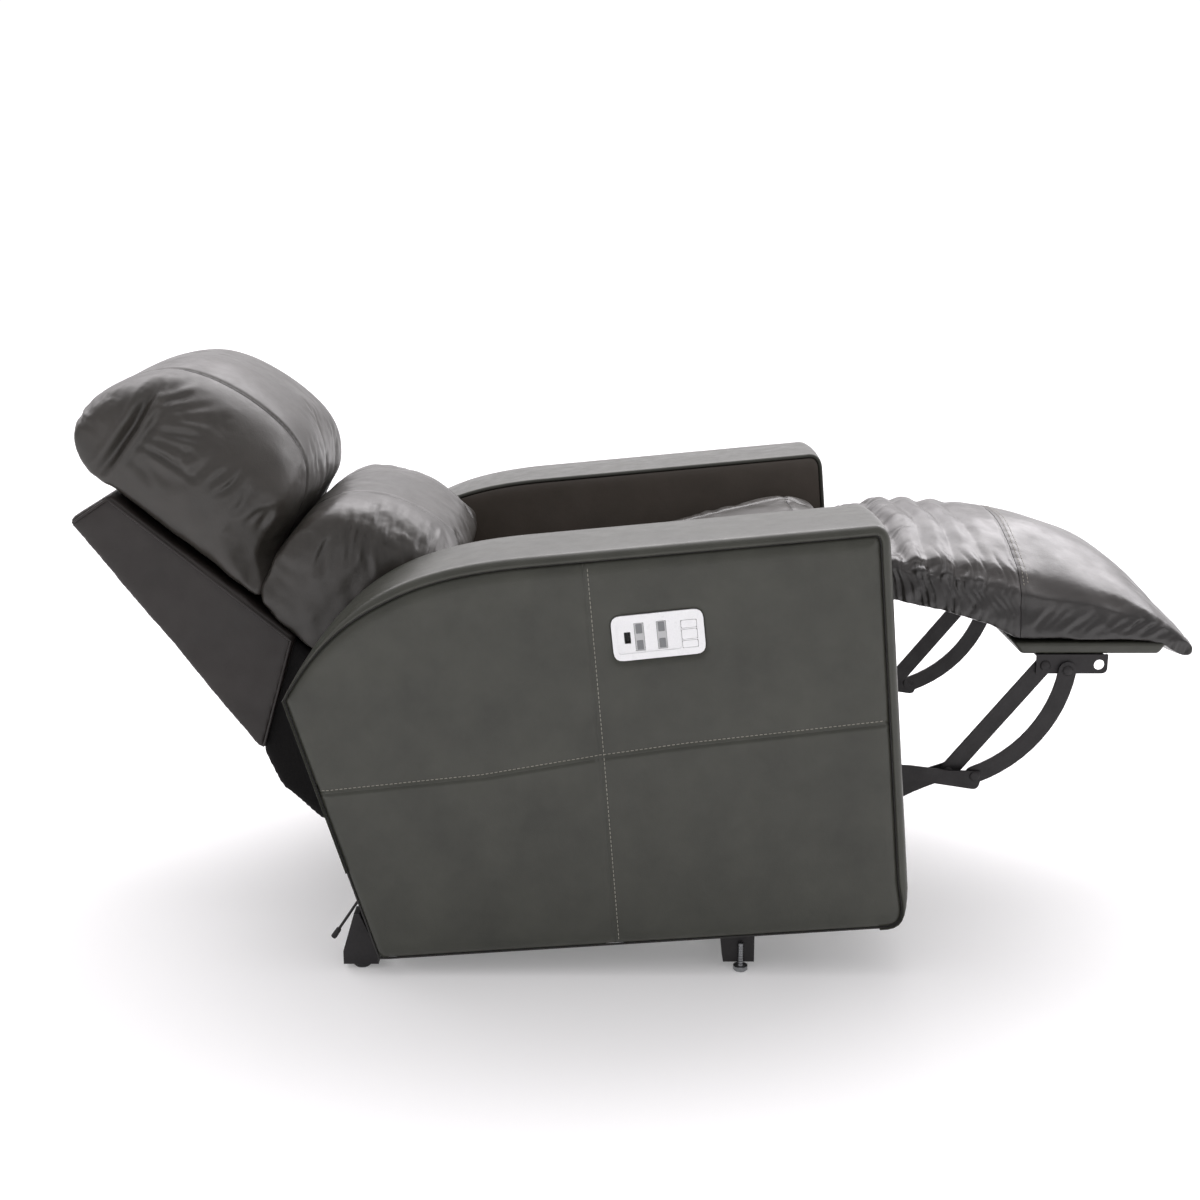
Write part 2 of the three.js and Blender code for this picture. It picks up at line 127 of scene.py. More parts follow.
class Surface(Graph):
    """A material's tree. Its patterns follow the piece's own coordinates."""

    def __init__(self, name, roughness=0.5, metallic=0.0, specular=0.5):
        self.material = bpy.data.materials.new(name)
        self.material.use_nodes = True
        super().__init__(self.material.node_tree)
        self.shader = self.tree.nodes["Principled BSDF"]
        self.shader.inputs["Roughness"].default_value = roughness
        self.shader.inputs["Metallic"].default_value = metallic
        self.shader.inputs["Specular IOR Level"].default_value = specular
        self.place = self.add("TexCoord").outputs["Object"]

    def noise(self, scale, detail=3.0, rough=0.5):
        node = self.add("TexNoise", {"Vector": self.place}, Scale=scale, Detail=detail, Roughness=rough)
        return node.outputs["Fac"]

    def ramp(self, fac, *stops):
        """A colour between two stops, each a position and a colour."""
        node = self.add("ValToRGB", {"Fac": fac})
        for element, (position, colour) in zip(node.color_ramp.elements, stops):
            element.position = position
            element.color = colour
        return node.outputs["Color"]

    def spread(self, fac, low, high):
        """A map from the middle of a noise's range to low .. high."""
        return self.remap(fac, 0.3, 0.7, low, high)

    def paint_side_shade(self, distance, colour):
        """The colour, darkened beyond a distance from the chair's middle: painted shade on a piece's sides."""
        axes = self.add("SeparateXYZ", {"Vector": self.place})
        shade = self.remap(self.maths("ABSOLUTE", axes.outputs["X"]), distance, distance + 0.01, 1.0, 0.4)
        return self.add("VectorMath", {0: colour, "Scale": shade}, operation="SCALE").outputs["Vector"]

    def bump(self, height, strength, distance, below=None):
        links = {"Height": height, "Normal": below} if below else {"Height": height}
        return self.add("Bump", links, Strength=strength, Distance=distance).outputs["Normal"]

    def finished(self, colour, normal=None, roughness=None):
        """The material, with what varies over it led to its shader."""
        for name, output in (("Base Color", colour), ("Normal", normal), ("Roughness", roughness)):
            if output:
                self.tree.links.new(output, self.shader.inputs[name])
        return self.material


def linear(red, green, blue):
    """An 8-bit sRGB colour, in linear light."""
    shares = [c / 255 for c in (red, green, blue)]
    return tuple(((s + 0.055) / 1.055) ** 2.4 if s > 0.04 else s / 12.92 for s in shares) + (1,)


def shaded(colour, share):
    return tuple(c * share for c in colour[:3]) + (1,)


def leather(name, dark, light, roughness=0.34, specular=0.5, side_shade_from=None):
    """Pigmented leather: soft mottling, a fine pebble grain and faint creases.

    Given a distance, it darkens beyond that distance from the chair's middle: painted shade on the piece's sides.
    """
    m = Surface(name, specular=specular)
    colour = m.ramp(m.noise(11, detail=5, rough=0.62), (0.3, dark), (0.7, light))
    # Painted shade: the colour darkens on the sides beyond that distance.
    if side_shade_from:
        colour = m.paint_side_shade(side_shade_from, colour)
    pebble = m.add("TexVoronoi", {"Vector": m.place}, feature="SMOOTH_F1", Scale=520.0, Smoothness=0.6)
    grain = m.bump(pebble.outputs["Distance"], 0.12, 0.0006)
    faint = m.bump(m.noise(95, detail=6, rough=0.6), 0.22, 0.0012, below=grain)
    return m.finished(colour, faint, m.spread(m.noise(35, detail=4), roughness - 0.05, roughness + 0.07))


def steel(name, colour, roughness, metallic):
    """Painted or plated steel with fine specks."""
    m = Surface(name, metallic=metallic)
    speck = m.noise(260, detail=4)
    return m.finished(m.ramp(speck, (0.35, shaded(colour, 0.8)), (0.65, colour)),
                      m.bump(speck, 0.12, 0.0004), m.spread(m.noise(40), roughness - 0.06, roughness + 0.08))


def plastic(name, colour, roughness):
    """Moulded plastic with a satin texture."""
    m = Surface(name)
    fine = m.noise(900, detail=2)
    return m.finished(m.ramp(fine, (0.3, shaded(colour, 0.93)), (0.7, colour)),
                      m.bump(fine, 0.08, 0.0002), m.spread(m.noise(70), roughness - 0.04, roughness + 0.05))


def pine(name):
    """Planed pine with its grain along the frame's y axis."""
    m = Surface(name, roughness=0.65)
    stretch = m.add("Mapping", {"Vector": m.place}, Scale=(30, 3, 30))
    rings = m.add("TexNoise", {"Vector": stretch.outputs["Vector"]}, Scale=4.0, Detail=5.0, Distortion=0.6)
    grain = rings.outputs["Fac"]
    return m.finished(m.ramp(grain, (0.35, linear(150, 112, 72)), (0.62, linear(196, 158, 112))),
                      m.bump(grain, 0.2, 0.0006))


def cloth(name, colour):
    """Thin non-woven dust cover."""
    m = Surface(name, roughness=0.9, specular=0.2)
    weave = m.add("TexVoronoi", {"Vector": m.place}, Scale=700.0).outputs["Distance"]
    return m.finished(m.ramp(weave, (0.1, colour), (0.8, shaded(colour, 0.6))), m.bump(weave, 0.4, 0.0005))


GREY = leather("leather_grey", linear(52, 53, 47), linear(63, 64, 57), specular=0.4)
BROWN = leather("leather_brown", linear(33, 29, 27), linear(40, 35, 33), roughness=0.42, specular=0.4)
LINING = leather("leather_lining", linear(72, 66, 59), linear(82, 75, 68), roughness=0.42)
PILLOW = leather("leather_pillow", linear(46, 44, 40), linear(56, 53, 49), roughness=0.36)
# The footrest leather darkens beyond 0.242 m from the chair's middle: painted shade on the sides of the pad and
# apron.
FOOT = leather("leather_footrest", linear(54, 52, 50), linear(66, 63, 61), specular=0.6, side_shade_from=0.242)
# Dark leather for the cords in the seam grooves: painted shade, darker than the leather round them.
SEAM_SHADE = leather("leather_seam_shade", linear(26, 25, 24), linear(34, 32, 31), roughness=0.6)
THREAD = plastic("thread", linear(160, 157, 146), 0.6)
DUST_COVER = cloth("dust_cover", linear(24, 23, 23))
BLACK_STEEL = steel("steel_black", linear(36, 34, 35), 0.5, 0.3)
ZINC = steel("steel_zinc", linear(150, 152, 154), 0.36, 0.9)
BLACK = plastic("plastic_black", linear(16, 16, 17), 0.5)
SILVER = plastic("plastic_silver", linear(242, 243, 244), 0.3)
KEY_GREY = plastic("plastic_key", linear(190, 191, 192), 0.4)
ICON = plastic("plastic_icon", linear(122, 124, 126), 0.45)
WOOD = pine("pine")

BY_SLOT = {
    "grey_leather": GREY, "dark_leather": BROWN, "black_steel": BLACK_STEEL, "zinc": ZINC,
    "black_plastic": BLACK, "silver_plastic": SILVER, "grey_plastic": KEY_GREY, "wood": WOOD,
}


# ------------------------------------------------------------------ mesh helpers
def attach(piece, body):
    if isinstance(body, str):
        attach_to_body(piece, body)
    elif body:
        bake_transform(piece)


def shade_smooth(mesh, smooth=True):
    mesh.polygons.foreach_set("use_smooth", [smooth] * len(mesh.polygons))


def make_piece(name, points, faces, material, body, smooth=True):
    """A closed mesh from side-view points, riding on a body."""
    mesh = bpy.data.meshes.new(name)
    mesh.from_pydata([tuple(p) for p in to_row(points)], [], faces)
    shell = bmesh.new()
    shell.from_mesh(mesh)
    bmesh.ops.recalc_face_normals(shell, faces=shell.faces)
    shell.to_mesh(mesh)
    shell.free()
    mesh.materials.append(material)
    shade_smooth(mesh, smooth)
    piece = bpy.data.objects.new(name, mesh)
    bpy.context.scene.collection.objects.link(piece)
    attach(piece, body)
    return piece


def ring_faces(rings, size, closed=False):
    """Quads from each ring of points to the next, with both ends capped unless the last meets the first."""
    faces = [
        (i * size + j, i * size + (j + 1) % size, (i + 1) % rings * size + (j + 1) % size,
         (i + 1) % rings * size + j)
        for i in range(rings if closed else rings - 1) for j in range(size)
    ]
    if not closed:
        faces += [tuple(range(size)), tuple(range((rings - 1) * size, rings * size))]
    return faces


def prism(name, outline, low, high, material, body, smooth=True):
    """A bar across the chair, from an outline in the side view and its two ends' z."""
    points = [(x, y, z) for z in (low, high) for x, y in outline]
    return make_piece(name, points, ring_faces(2, len(outline)), material, body, smooth)


def modified(piece, kind, **settings):
    """Applies one modifier to a piece."""
    modifier = piece.modifiers.new(kind.lower(), kind)
    for name, value in settings.items():
        setattr(modifier, name, value)
    graph = bpy.context.evaluated_depsgraph_get()
    mesh = bpy.data.meshes.new_from_object(piece.evaluated_get(graph))
    old = piece.data
    piece.modifiers.clear()
    piece.data = mesh
    bpy.data.meshes.remove(old)
    mesh.name = piece.name


def read(mesh, field="co"):
    values = np.zeros(len(mesh.vertices) * 3, np.float32)
    mesh.vertices.foreach_get(field, values)
    return values.reshape(-1, 3).astype(float)


def write(mesh, points):
    mesh.vertices.foreach_set("co", points.astype(np.float32).ravel())
    mesh.update()


def surface_of(piece):
    mesh = piece.data
    return BVHTree.FromPolygons([v.co for v in mesh.vertices], [tuple(p.vertices) for p in mesh.polygons])


def displace(piece, offsets):
    """Moves each vertex along its normal by offsets(side-view points, side-view normals) in millimetres."""
    points, normals = read(piece.data), read(piece.data, "normal")
    write(piece.data, points + normals * (offsets(to_side(points), facing_of(normals)) * MM)[:, None])


def tube(name, line, radius, material, body, closed=False):
    """A round cord along side-view points."""
    sides = 8
    line = np.asarray(line, float)
    ahead = np.roll(line, -1, 0) - np.roll(line, 1, 0)
    if not closed:
        ahead[0], ahead[-1] = line[1] - line[0], line[-1] - line[-2]
    ahead /= np.linalg.norm(ahead, axis=1)[:, None] + 1e-12
    across = np.cross(ahead, (0, 0, 1.0))
    flat = np.linalg.norm(across, axis=1) < 0.2
    across[flat] = np.cross(ahead[flat], (1.0, 0, 0))
    across /= np.linalg.norm(across, axis=1)[:, None]
    third = np.cross(ahead, across)
    turn = np.arange(sides) * 2 * math.pi / sides
    rings = (line[:, None] + radius * (np.cos(turn)[None, :, None] * across[:, None]
                                       + np.sin(turn)[None, :, None] * third[:, None]))
    faces = ring_faces(len(line), sides, closed)
    return make_piece(name, rings.reshape(-1, 3), faces, material, body)


def at_length(values, lengths, where):
    """Values along a line at one length from its start."""
    return np.array([np.interp(where, lengths, values[:, k]) for k in range(3)])


def stitches(name, rows, body):
    """One mesh of separate stitches along rows of (points, outward normals) on a surface."""
    length, gap, radius = 5.0, 1.7, 0.55
    section = [(0, 0.0), (0.15, 0.8), (0.5, 1.0), (0.85, 0.8), (1, 0.0)]
    sides = 4
    points, faces = [], []
    for line, normals in rows:
        line, normals = np.asarray(line, float), np.asarray(normals, float)
        done = np.concatenate([[0], np.cumsum(np.linalg.norm(np.diff(line, axis=0), axis=1))])
        for start in np.arange(gap, done[-1] - length, length + gap):
            a, b = at_length(line, done, start), at_length(line, done, start + length)
            up = at_length(normals, done, start + length / 2)
            up /= np.linalg.norm(up) + 1e-12
            side = np.cross(b - a, up)
            side /= np.linalg.norm(side) + 1e-12
            base = len(points)
            for t, swell in section:
                middle = a + (b - a) * t + up * radius * 0.35 * swell
                for angle in np.arange(sides) * math.pi / 2:
                    spoke = math.cos(angle) * side + math.sin(angle) * up
                    points.append(middle + radius * max(swell, 0.1) * spoke)
            faces += [tuple(base + corner for corner in face) for face in ring_faces(len(section), sides)]
    return make_piece(name, points, faces, THREAD, body)


# ------------------------------------------------------------------ lines and folds
def smooth_loop(corners, steps=6):
    """A closed Catmull-Rom line through the corners."""
    p = np.asarray(corners, float)
    before, after, beyond = np.roll(p, 1, 0), np.roll(p, -1, 0), np.roll(p, -2, 0)
    out = []
    for t in np.arange(steps) / steps:
        out.append(0.5 * (2 * p + (after - before) * t + (2 * before - 5 * p + 4 * after - beyond) * t ** 2
                          + (3 * p - before - 3 * after + beyond) * t ** 3))
    return np.stack(out, 1).reshape(-1, p.shape[1])


def bezier(a, b, c, d, steps):
    t = np.linspace(0, 1, steps)[:, None]
    a, b, c, d = (np.asarray(p, float) for p in (a, b, c, d))
    return (1 - t) ** 3 * a + 3 * t * (1 - t) ** 2 * b + 3 * t ** 2 * (1 - t) * c + t ** 3 * d


def straight(a, b, step):
    count = max(2, int(np.linalg.norm(np.subtract(b, a)) / step) + 1)
    t = np.linspace(0, 1, count)[:, None]
    return np.asarray(a, float) * (1 - t) + np.asarray(b, float) * t


def dense(line, step):
    """A line with more points on its straights."""
    parts = [straight(a, b, step)[:-1] for a, b in zip(line[:-1], line[1:])]
    return np.concatenate(parts + [np.asarray(line[-1:], float)])


def looped(edge):
    """An outline with its first point again at its end."""
    return np.vstack([edge, edge[:1]])


def outward(line):
    """Unit normals to the left of a line that runs clockwise seen from the sitter's right."""
    ahead = np.gradient(line, axis=0)
    ahead /= np.linalg.norm(ahead, axis=1)[:, None]
    return np.column_stack([-ahead[:, 1], ahead[:, 0]])


def offset_line(line, distance):
    return line + outward(line) * distance


def nearest_on(points, line):
    """For each point, the nearest place on an open line, its distance, and how far along it lies (0 to 1)."""
    line = np.asarray(line, float)
    starts, spans = line[:-1], np.diff(line, axis=0)
    lengths = np.linalg.norm(spans, axis=1)
    along = np.concatenate([[0], np.cumsum(lengths)])
    best = np.full(len(points), np.inf)
    place = np.zeros_like(points, dtype=float)
    share = np.zeros(len(points))
    for start, span, length, done in zip(starts, spans, lengths, along):
        t = np.clip((points - start) @ span / (length ** 2 + 1e-12), 0, 1)
        foot = start + t[:, None] * span
        far = np.linalg.norm(points - foot, axis=1)
        nearer = far < best
        best[nearer], place[nearer] = far[nearer], foot[nearer]
        share[nearer] = (done + t[nearer] * length) / along[-1]
    return place, best, share


def inside_of(points, edge):
    """Whether each point is inside a closed outline."""
    result = np.zeros(len(points), bool)
    for a, b in zip(edge, np.roll(edge, -1, 0)):
        crosses = (a[1] > points[:, 1]) != (b[1] > points[:, 1])
        with np.errstate(divide="ignore", invalid="ignore"):
            where = (b[0] - a[0]) * (points[:, 1] - a[1]) / (b[1] - a[1]) + a[0]
        result ^= crosses & (points[:, 0] < where)
    return result


def smoothstep(value, low, high):
    t = np.clip((value - low) / (high - low), 0, 1)
    return t * t * (3 - 2 * t)


def bell(value, middle, width):
    return np.exp(-(((value - middle) / width) ** 2))


def ripples(points, wavelength, seed, waves=9):
    """Soft uneven waves, from about -1 to 1."""
    rng = np.random.default_rng(seed)
    total = np.zeros(len(points))
    for _ in range(waves):
        direction = rng.normal(size=points.shape[1])
        direction *= rng.uniform(0.7, 1.4) * 2 * math.pi / wavelength / np.linalg.norm(direction)
        total += np.sin(points @ direction + rng.uniform(0, 2 * math.pi))
    return total / math.sqrt(waves)


def crease(points, line, width, depth):
    """The dip of one crease along a line, with soft lips, fading towards its ends."""
    _, far, share = nearest_on(points, line)
    fade = np.sin(math.pi * np.clip(share, 0.02, 0.98)) ** 0.7
    return depth * fade * (0.35 * bell(far, 1.9 * width, width) - bell(far, 0, width))


def creases(points, starts, ends, bend, width, depth, seed):
    """A family of creases, each from a start to an end, with a seeded bend."""
    rng = np.random.default_rng(seed)
    total = np.zeros(len(points))
    for start, end in zip(np.asarray(starts, float), np.asarray(ends, float)):
        side = np.array([start[1] - end[1], end[0] - start[0]]) * rng.uniform(-bend, bend)
        middle = (start + end) / 2 + side
        t = np.linspace(0, 1, 6)[:, None]
        line = (1 - t) ** 2 * start + 2 * t * (1 - t) * middle + t ** 2 * end
        total += crease(points, line, width * rng.uniform(0.75, 1.3), depth * rng.uniform(0.5, 1.2))
    return total


# ------------------------------------------------------------------ arms
ARM_BOTTOM_REAR = (-332, 26)
ARM_CORNER_REAR = (-457, 429)
ARM_SEAMS = [np.array(line, float) for line in (
    [(-440, 284), (-407, 288), (-169, 314), (-3, 343), (127, 362), (452, 400)],
    [(-28, 652), (-25, 642), (1, 337), (23, 55), (24, 44)],
)]
WELT_INSET = 11.5
REAR_STRIP_TOP = 170.0
LINING_BOTTOM = 90.0
CONTROL = {"x": 83, "y": 528, "tilt": math.radians(6), "width": 132, "height": 66, "corner": 14}


def arm_edge():
    """The arm's edge from its lower rear corner, up the back, over the top and down the front."""
    step = 12.0
    parts = [
        straight(ARM_BOTTOM_REAR, ARM_CORNER_REAR, step),
        bezier(ARM_CORNER_REAR, (-380, 563), (-305, 620), (-106, 639), 44),
        straight((-106, 639), (379, 684), step),
        bezier((379, 684), (396, 687), (406, 680), (409, 661), 9),
        straight((409, 661), (456, 139), step),
        bezier((456, 139), (457, 90), (450, 75), (417, 75), 9),
    ]
    line = [parts[0][0]]
    for part in parts:
        line.extend(p for p in part if np.linalg.norm(p - line[-1]) > 0.5)
    return np.array(line)


def groove_inset(line):
    """How far inside the arm's edge the welt groove runs: next to nothing up the back, most over the top."""
    rear = smoothstep(line[:, 0], ARM_CORNER_REAR[0] + 4, -300)
    front = smoothstep(line[:, 1], 76, 150)
    rear[line[:, 1] < ARM_CORNER_REAR[1] - 1] = 0
    return 1.0 + WELT_INSET * np.where(line[:, 0] < 0, rear, front)


def band_section(inset, inner, outer, rounding=12.0, crown=2.6, low=ARM_FRAME_OUTER + 0.5):
    """Half boxed band over the arm's edge: down the inner face, across the top, down the outer face."""
    turn = np.linspace(0, math.pi / 2, 7)
    lip = inner - 2.6
    small, top, depth = 5.0, 1.4, 5.5
    section = [(-depth, inner - 1.0), (0.4 - depth, lip + 0.4), (1.6 - depth, lip)]
    section += [(top - small + small * math.sin(a), lip + small - small * math.cos(a)) for a in turn]
    across = np.linspace(lip + small, outer - rounding, 9)[1:-1]
    middle = (lip + small + outer - rounding) / 2
    section += [(top + crown * (1 - ((z - middle) / (middle - lip - small)) ** 2), z) for z in across]
    fall = min(rounding, inset + top - 1.5)
    section += [(top - fall + fall * math.cos(a), outer - rounding + rounding * math.sin(a)) for a in turn]
    section += [(1.4 - inset, outer - 0.2), (0.2 - inset, outer - 1.6), (-inset, outer - 5.0)]
    section += [(-inset, low), (0.4, low), (0.4, inner - 0.4), (-depth, inner - 0.4)]
    return section


def sweep(name, line, normals, sections, material, sign):
    """A closed strip: at each point of the line, a section of (height over the edge, z) points."""
    flat = line[:, None] + normals[:, None] * sections[:, :, :1]
    points = np.concatenate([flat, sections[:, :, 1:] * sign], 2).reshape(-1, 3)
    make_piece(name, points, ring_faces(len(line), sections.shape[1]), material, "chassis")


def plate_axes(points):
    """Points in the control panel's own axes."""
    x, y = points[:, 0] - CONTROL["x"], points[:, 1] - CONTROL["y"]
    c, s = math.cos(CONTROL["tilt"]), math.sin(CONTROL["tilt"])
    return np.column_stack([c * x + s * y, -s * x + c * y])


def from_plate(points):
    points = np.asarray(points, float)
    c, s = math.cos(CONTROL["tilt"]), math.sin(CONTROL["tilt"])
    return np.column_stack([c * points[:, 0] - s * points[:, 1] + CONTROL["x"],
                            s * points[:, 0] + c * points[:, 1] + CONTROL["y"]])


def plate_distance(points):
    """Distance outside the control panel's rounded outline, negative inside."""
    corner = CONTROL["corner"]
    half = np.array([CONTROL["width"], CONTROL["height"]]) / 2 - corner
    q = np.abs(plate_axes(points)) - half
    return np.linalg.norm(np.maximum(q, 0), axis=1) + np.minimum(q.max(1), 0) - corner


def rounded_box(half, corner, count):
    """A ring of points round a box with rounded corners."""
    turn = np.linspace(0, 2 * math.pi, count, endpoint=False)
    spokes = np.column_stack([np.cos(turn), np.sin(turn)])
    return np.sign(spokes) * half + corner * spokes


def plate_ring(offset):
    """A ring round the control panel at a distance outside its outline."""
    corner = CONTROL["corner"]
    half = np.array([CONTROL["width"], CONTROL["height"]]) / 2 - corner
    return from_plate(dense(looped(rounded_box(half, corner + offset, 44)), 3.0)[:-1])


def arm_height(p, edge, plate):
    """How far the outer panel's leather stands from the chair's middle at side-view points."""
    _, to_edge, _ = nearest_on(p, edge)
    to_seam = np.min([nearest_on(p, seam)[1] for seam in ARM_SEAMS], axis=0)
    roll = 19.0
    inside = np.clip(to_edge / roll, 0, 1)
    height = ARM_OUTER - 8.5 + 8.7 * np.sqrt(1 - (1 - inside) ** 2)
    height += 2.2 * (1 - np.exp(-np.minimum(to_edge, to_seam * 1.2) / 48.0))
    height -= 1.5 * bell(to_seam, 0, 2.6) - 0.5 * bell(to_seam, 6.0, 3.0)
    height += 0.3 * ripples(p, 150, 3) * smoothstep(to_edge, 10, 60)
    if plate:
        near = plate_distance(p)
        lip = ARM_OUTER - 2.6 + 3.6 * (1 - np.exp(-np.clip(near - 0.8, 0, None) / 5.5))
        height = np.where(near < 0.7, ARM_FRAME_OUTER + 0.4, np.minimum(height, lip))
    return height


def panel_mesh(edge, seams, plate, grid=16.0):
    """Triangles of a flat panel inside a closed edge, finer near its edge and its seams."""
    loop = looped(edge)
    beside = (-14, -9, -6, -3.5, -2, -1, 0, 1, 2, 3.5, 6, 9, 14)
    fine = [offset_line(loop, -d)[:-1] for d in (1.2, 3.0, 5.5, 9.0, 13.0, 19.0, 27.0)]
    for seam in seams:
        fine += [offset_line(dense(seam, 6.0), d) for d in beside]
    if plate:
        fine += [plate_ring(d) for d in (-4, 0.4, 0.9, 1.5, 2.5, 4, 6, 9, 13, 18)]
    fine = np.concatenate(fine)
    fine = fine[inside_of(fine, edge) & (nearest_on(fine, loop)[1] > 1.0)]
    low, high = edge.min(0), edge.max(0)
    xs = np.arange(low[0] + grid / 2, high[0], grid)
    ys = np.arange(low[1] + grid / 2, high[1], grid)
    filling = np.array([(x + (j % 2) * grid / 2, y) for j, y in enumerate(ys) for x in xs])
    keep = inside_of(filling, edge) & (nearest_on(filling, loop)[1] > 30)
    for seam in seams:
        keep &= nearest_on(filling, seam)[1] > 17
    if plate:
        keep &= plate_distance(filling) > 21
    points = np.concatenate([edge, fine, filling[keep]])
    edges = [(i, (i + 1) % len(edge)) for i in range(len(edge))]
    result = delaunay_2d_cdt([Vector(p) for p in points], edges, [], 1, 0.25)
    return np.array([tuple(v) for v in result[0]]), [tuple(f) for f in result[2]]


def padded_panel(name, edge, seams, heights, floor, material, sign, plate=False):
    """A closed upholstered panel: its outer face follows heights(points), its back is flat at floor."""
    flat, triangles = panel_mesh(edge, seams, plate)
    count = len(flat)
    outer = np.column_stack([flat, sign * heights(flat)])
    back = np.column_stack([flat, np.full(count, sign * floor)])
    sides = {side: True for t in triangles for side in zip(t, t[1:] + t[:1])}
    rim = [(a, b) for a, b in sides if (b, a) not in sides]
    faces = triangles + [tuple(i + count for i in reversed(t)) for t in triangles]
    faces += [(b, a, a + count, b + count) for a, b in rim]
    return make_piece(name, np.vstack([outer, back]), faces, material, "chassis")


def seam_rows(seam, edge, heights, sign):
    """A row of stitches beside a seam on the outer panel, as points and normals."""
    shift = 5.5
    line = offset_line(dense(seam, 4.0), shift)
    line = line[(nearest_on(line, seam)[1] < shift + 1) & inside_of(line, edge)]
    height = heights(line)
    normals = np.tile((0.0, 0.0, float(sign)), (len(line), 1))
    keep = height > ARM_OUTER - 2.5
    return np.column_stack([line, sign * height])[keep], normals[keep]


def arm_bands(name, sign, edge, normals, inset):
    """The boxed leather band round an arm, and the narrow dark strip that continues it down the back."""
    main = (edge[:, 1] > REAR_STRIP_TOP - 14) | (edge[:, 0] > 0)
    sections = np.array([band_section(i, ARM_INNER, ARM_OUTER) for i in inset])
    sweep(f"arm_band_{name}", edge[main], normals[main], sections[main], GREY, sign)
    low = (edge[:, 1] < REAR_STRIP_TOP) & (edge[:, 0] < 0)
    narrow = [band_section(8.0, ARM_INNER, 385.0, rounding=5.0, crown=0.5, low=384.0)]
    strip = np.array(narrow * int(low.sum()))
    strip[:, -4:, 1] = np.minimum(strip[:, -4:, 1], 384.5)
    sweep(f"arm_rear_strip_{name}", edge[low], normals[low], strip, BROWN, sign)


def arm_outside(name, sign, edge, normals, inset):
    """The padded outer panel with its stitching, and a dark cord in the groove round it: painted shade in the
    groove.
    """
    edge = edge - normals * (inset + 1.0)[:, None]
    edge = np.vstack([edge, straight(edge[-1], edge[0], 14.0)[1:-1]])
    loop = looped(edge)
    plate = sign > 0

    def heights(p):
        return arm_height(p, loop, plate)

    panel = padded_panel(f"arm_panel_{name}", edge, ARM_SEAMS, heights, ARM_FRAME_OUTER + 0.4, GREY,
                         sign, plate)
    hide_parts(f"arm_side_panel_{name}")
    stitches(f"arm_stitches_{name}", [seam_rows(seam, edge, heights, sign) for seam in ARM_SEAMS], "chassis")
    # A dark cord in the groove round the panel: painted shade, darker than the leather.
    groove = offset_line(loop, 0.8)
    cord = np.column_stack([groove, np.full(len(groove), sign * (ARM_OUTER - 6.0))])
    tube(f"arm_groove_shade_{name}", cord[:-1], 1.8, SEAM_SHADE, "chassis", closed=True)


def arm_inside(name, sign, edge, normals):
    """The dark lining panel on the seat side."""
    edge = edge - normals * 6.5
    edge = np.vstack([edge[edge[:, 1] > LINING_BOTTOM], [(430.0, LINING_BOTTOM), (-318.0, LINING_BOTTOM)]])
    loop = looped(edge)

    def heights(p):
        far = nearest_on(p, loop)[1]
        rise = np.sqrt(1 - (1 - np.clip(far / 16.0, 0, 1)) ** 2)
        return ARM_INNER - 0.7 - 2.0 * rise - 0.4 * (1 - np.exp(-far / 60.0))

    padded_panel(f"arm_inner_panel_{name}", edge, [], heights, ARM_INNER - 0.3, LINING, sign)


def build_arm(name, sign):
    edge = arm_edge()
    normals = outward(edge)
    inset = groove_inset(edge)
    arm_bands(name, sign, edge, normals, inset)
    arm_outside(name, sign, edge, normals, inset)
    arm_inside(name, sign, edge, normals)


# ------------------------------------------------------------------ cushions
CUSHIONS = []
CLOTH = {
    "quality": 4, "mass": 0.3, "tension_stiffness": 18, "compression_stiffness": 18, "shear_stiffness": 8,
    "bending_stiffness": 0.8, "use_pressure": True, "uniform_pressure_force": 4.0,
    "vertex_group_mass": "held", "pin_stiffness": 1.0,
}
CLOTH_FRAMES = 20


def loft(name, profile, spine, half, end_share, power, root, voxel=6.0, material=PILLOW):
    """A closed pillow: its side profile at the middle, drawn in towards its spine at both ends."""
    stations = 26
    profile = smooth_loop(profile)
    foot = nearest_on(profile, spine)[0]
    rings = []
    for t in np.sin(np.linspace(-math.pi / 2, math.pi / 2, stations)):
        share = end_share + (1 - end_share) * (1 - abs(t) ** power) ** (1 / root)
        ring = foot + (profile - foot) * share
        rings.append(np.column_stack([ring, np.full(len(ring), t * half)]))
    piece = make_piece(name, np.concatenate(rings), ring_faces(stations, len(profile)), material, None)
    modified(piece, "REMESH", mode="VOXEL", voxel_size=voxel * MM)
    return piece


def will_inflate(piece, held, cap, slack=0.0):
    """Notes a pillow for the cloth simulation.

    held(points, normals) is 1 where it rests and 0 where it is free. cap is the furthest it may move.
    """
    facing = facing_of(read(piece.data, "normal"))
    weights = np.clip(held(to_side(read(piece.data)), facing), 0, 1)
    CUSHIONS.append((piece, weights, cap, slack))


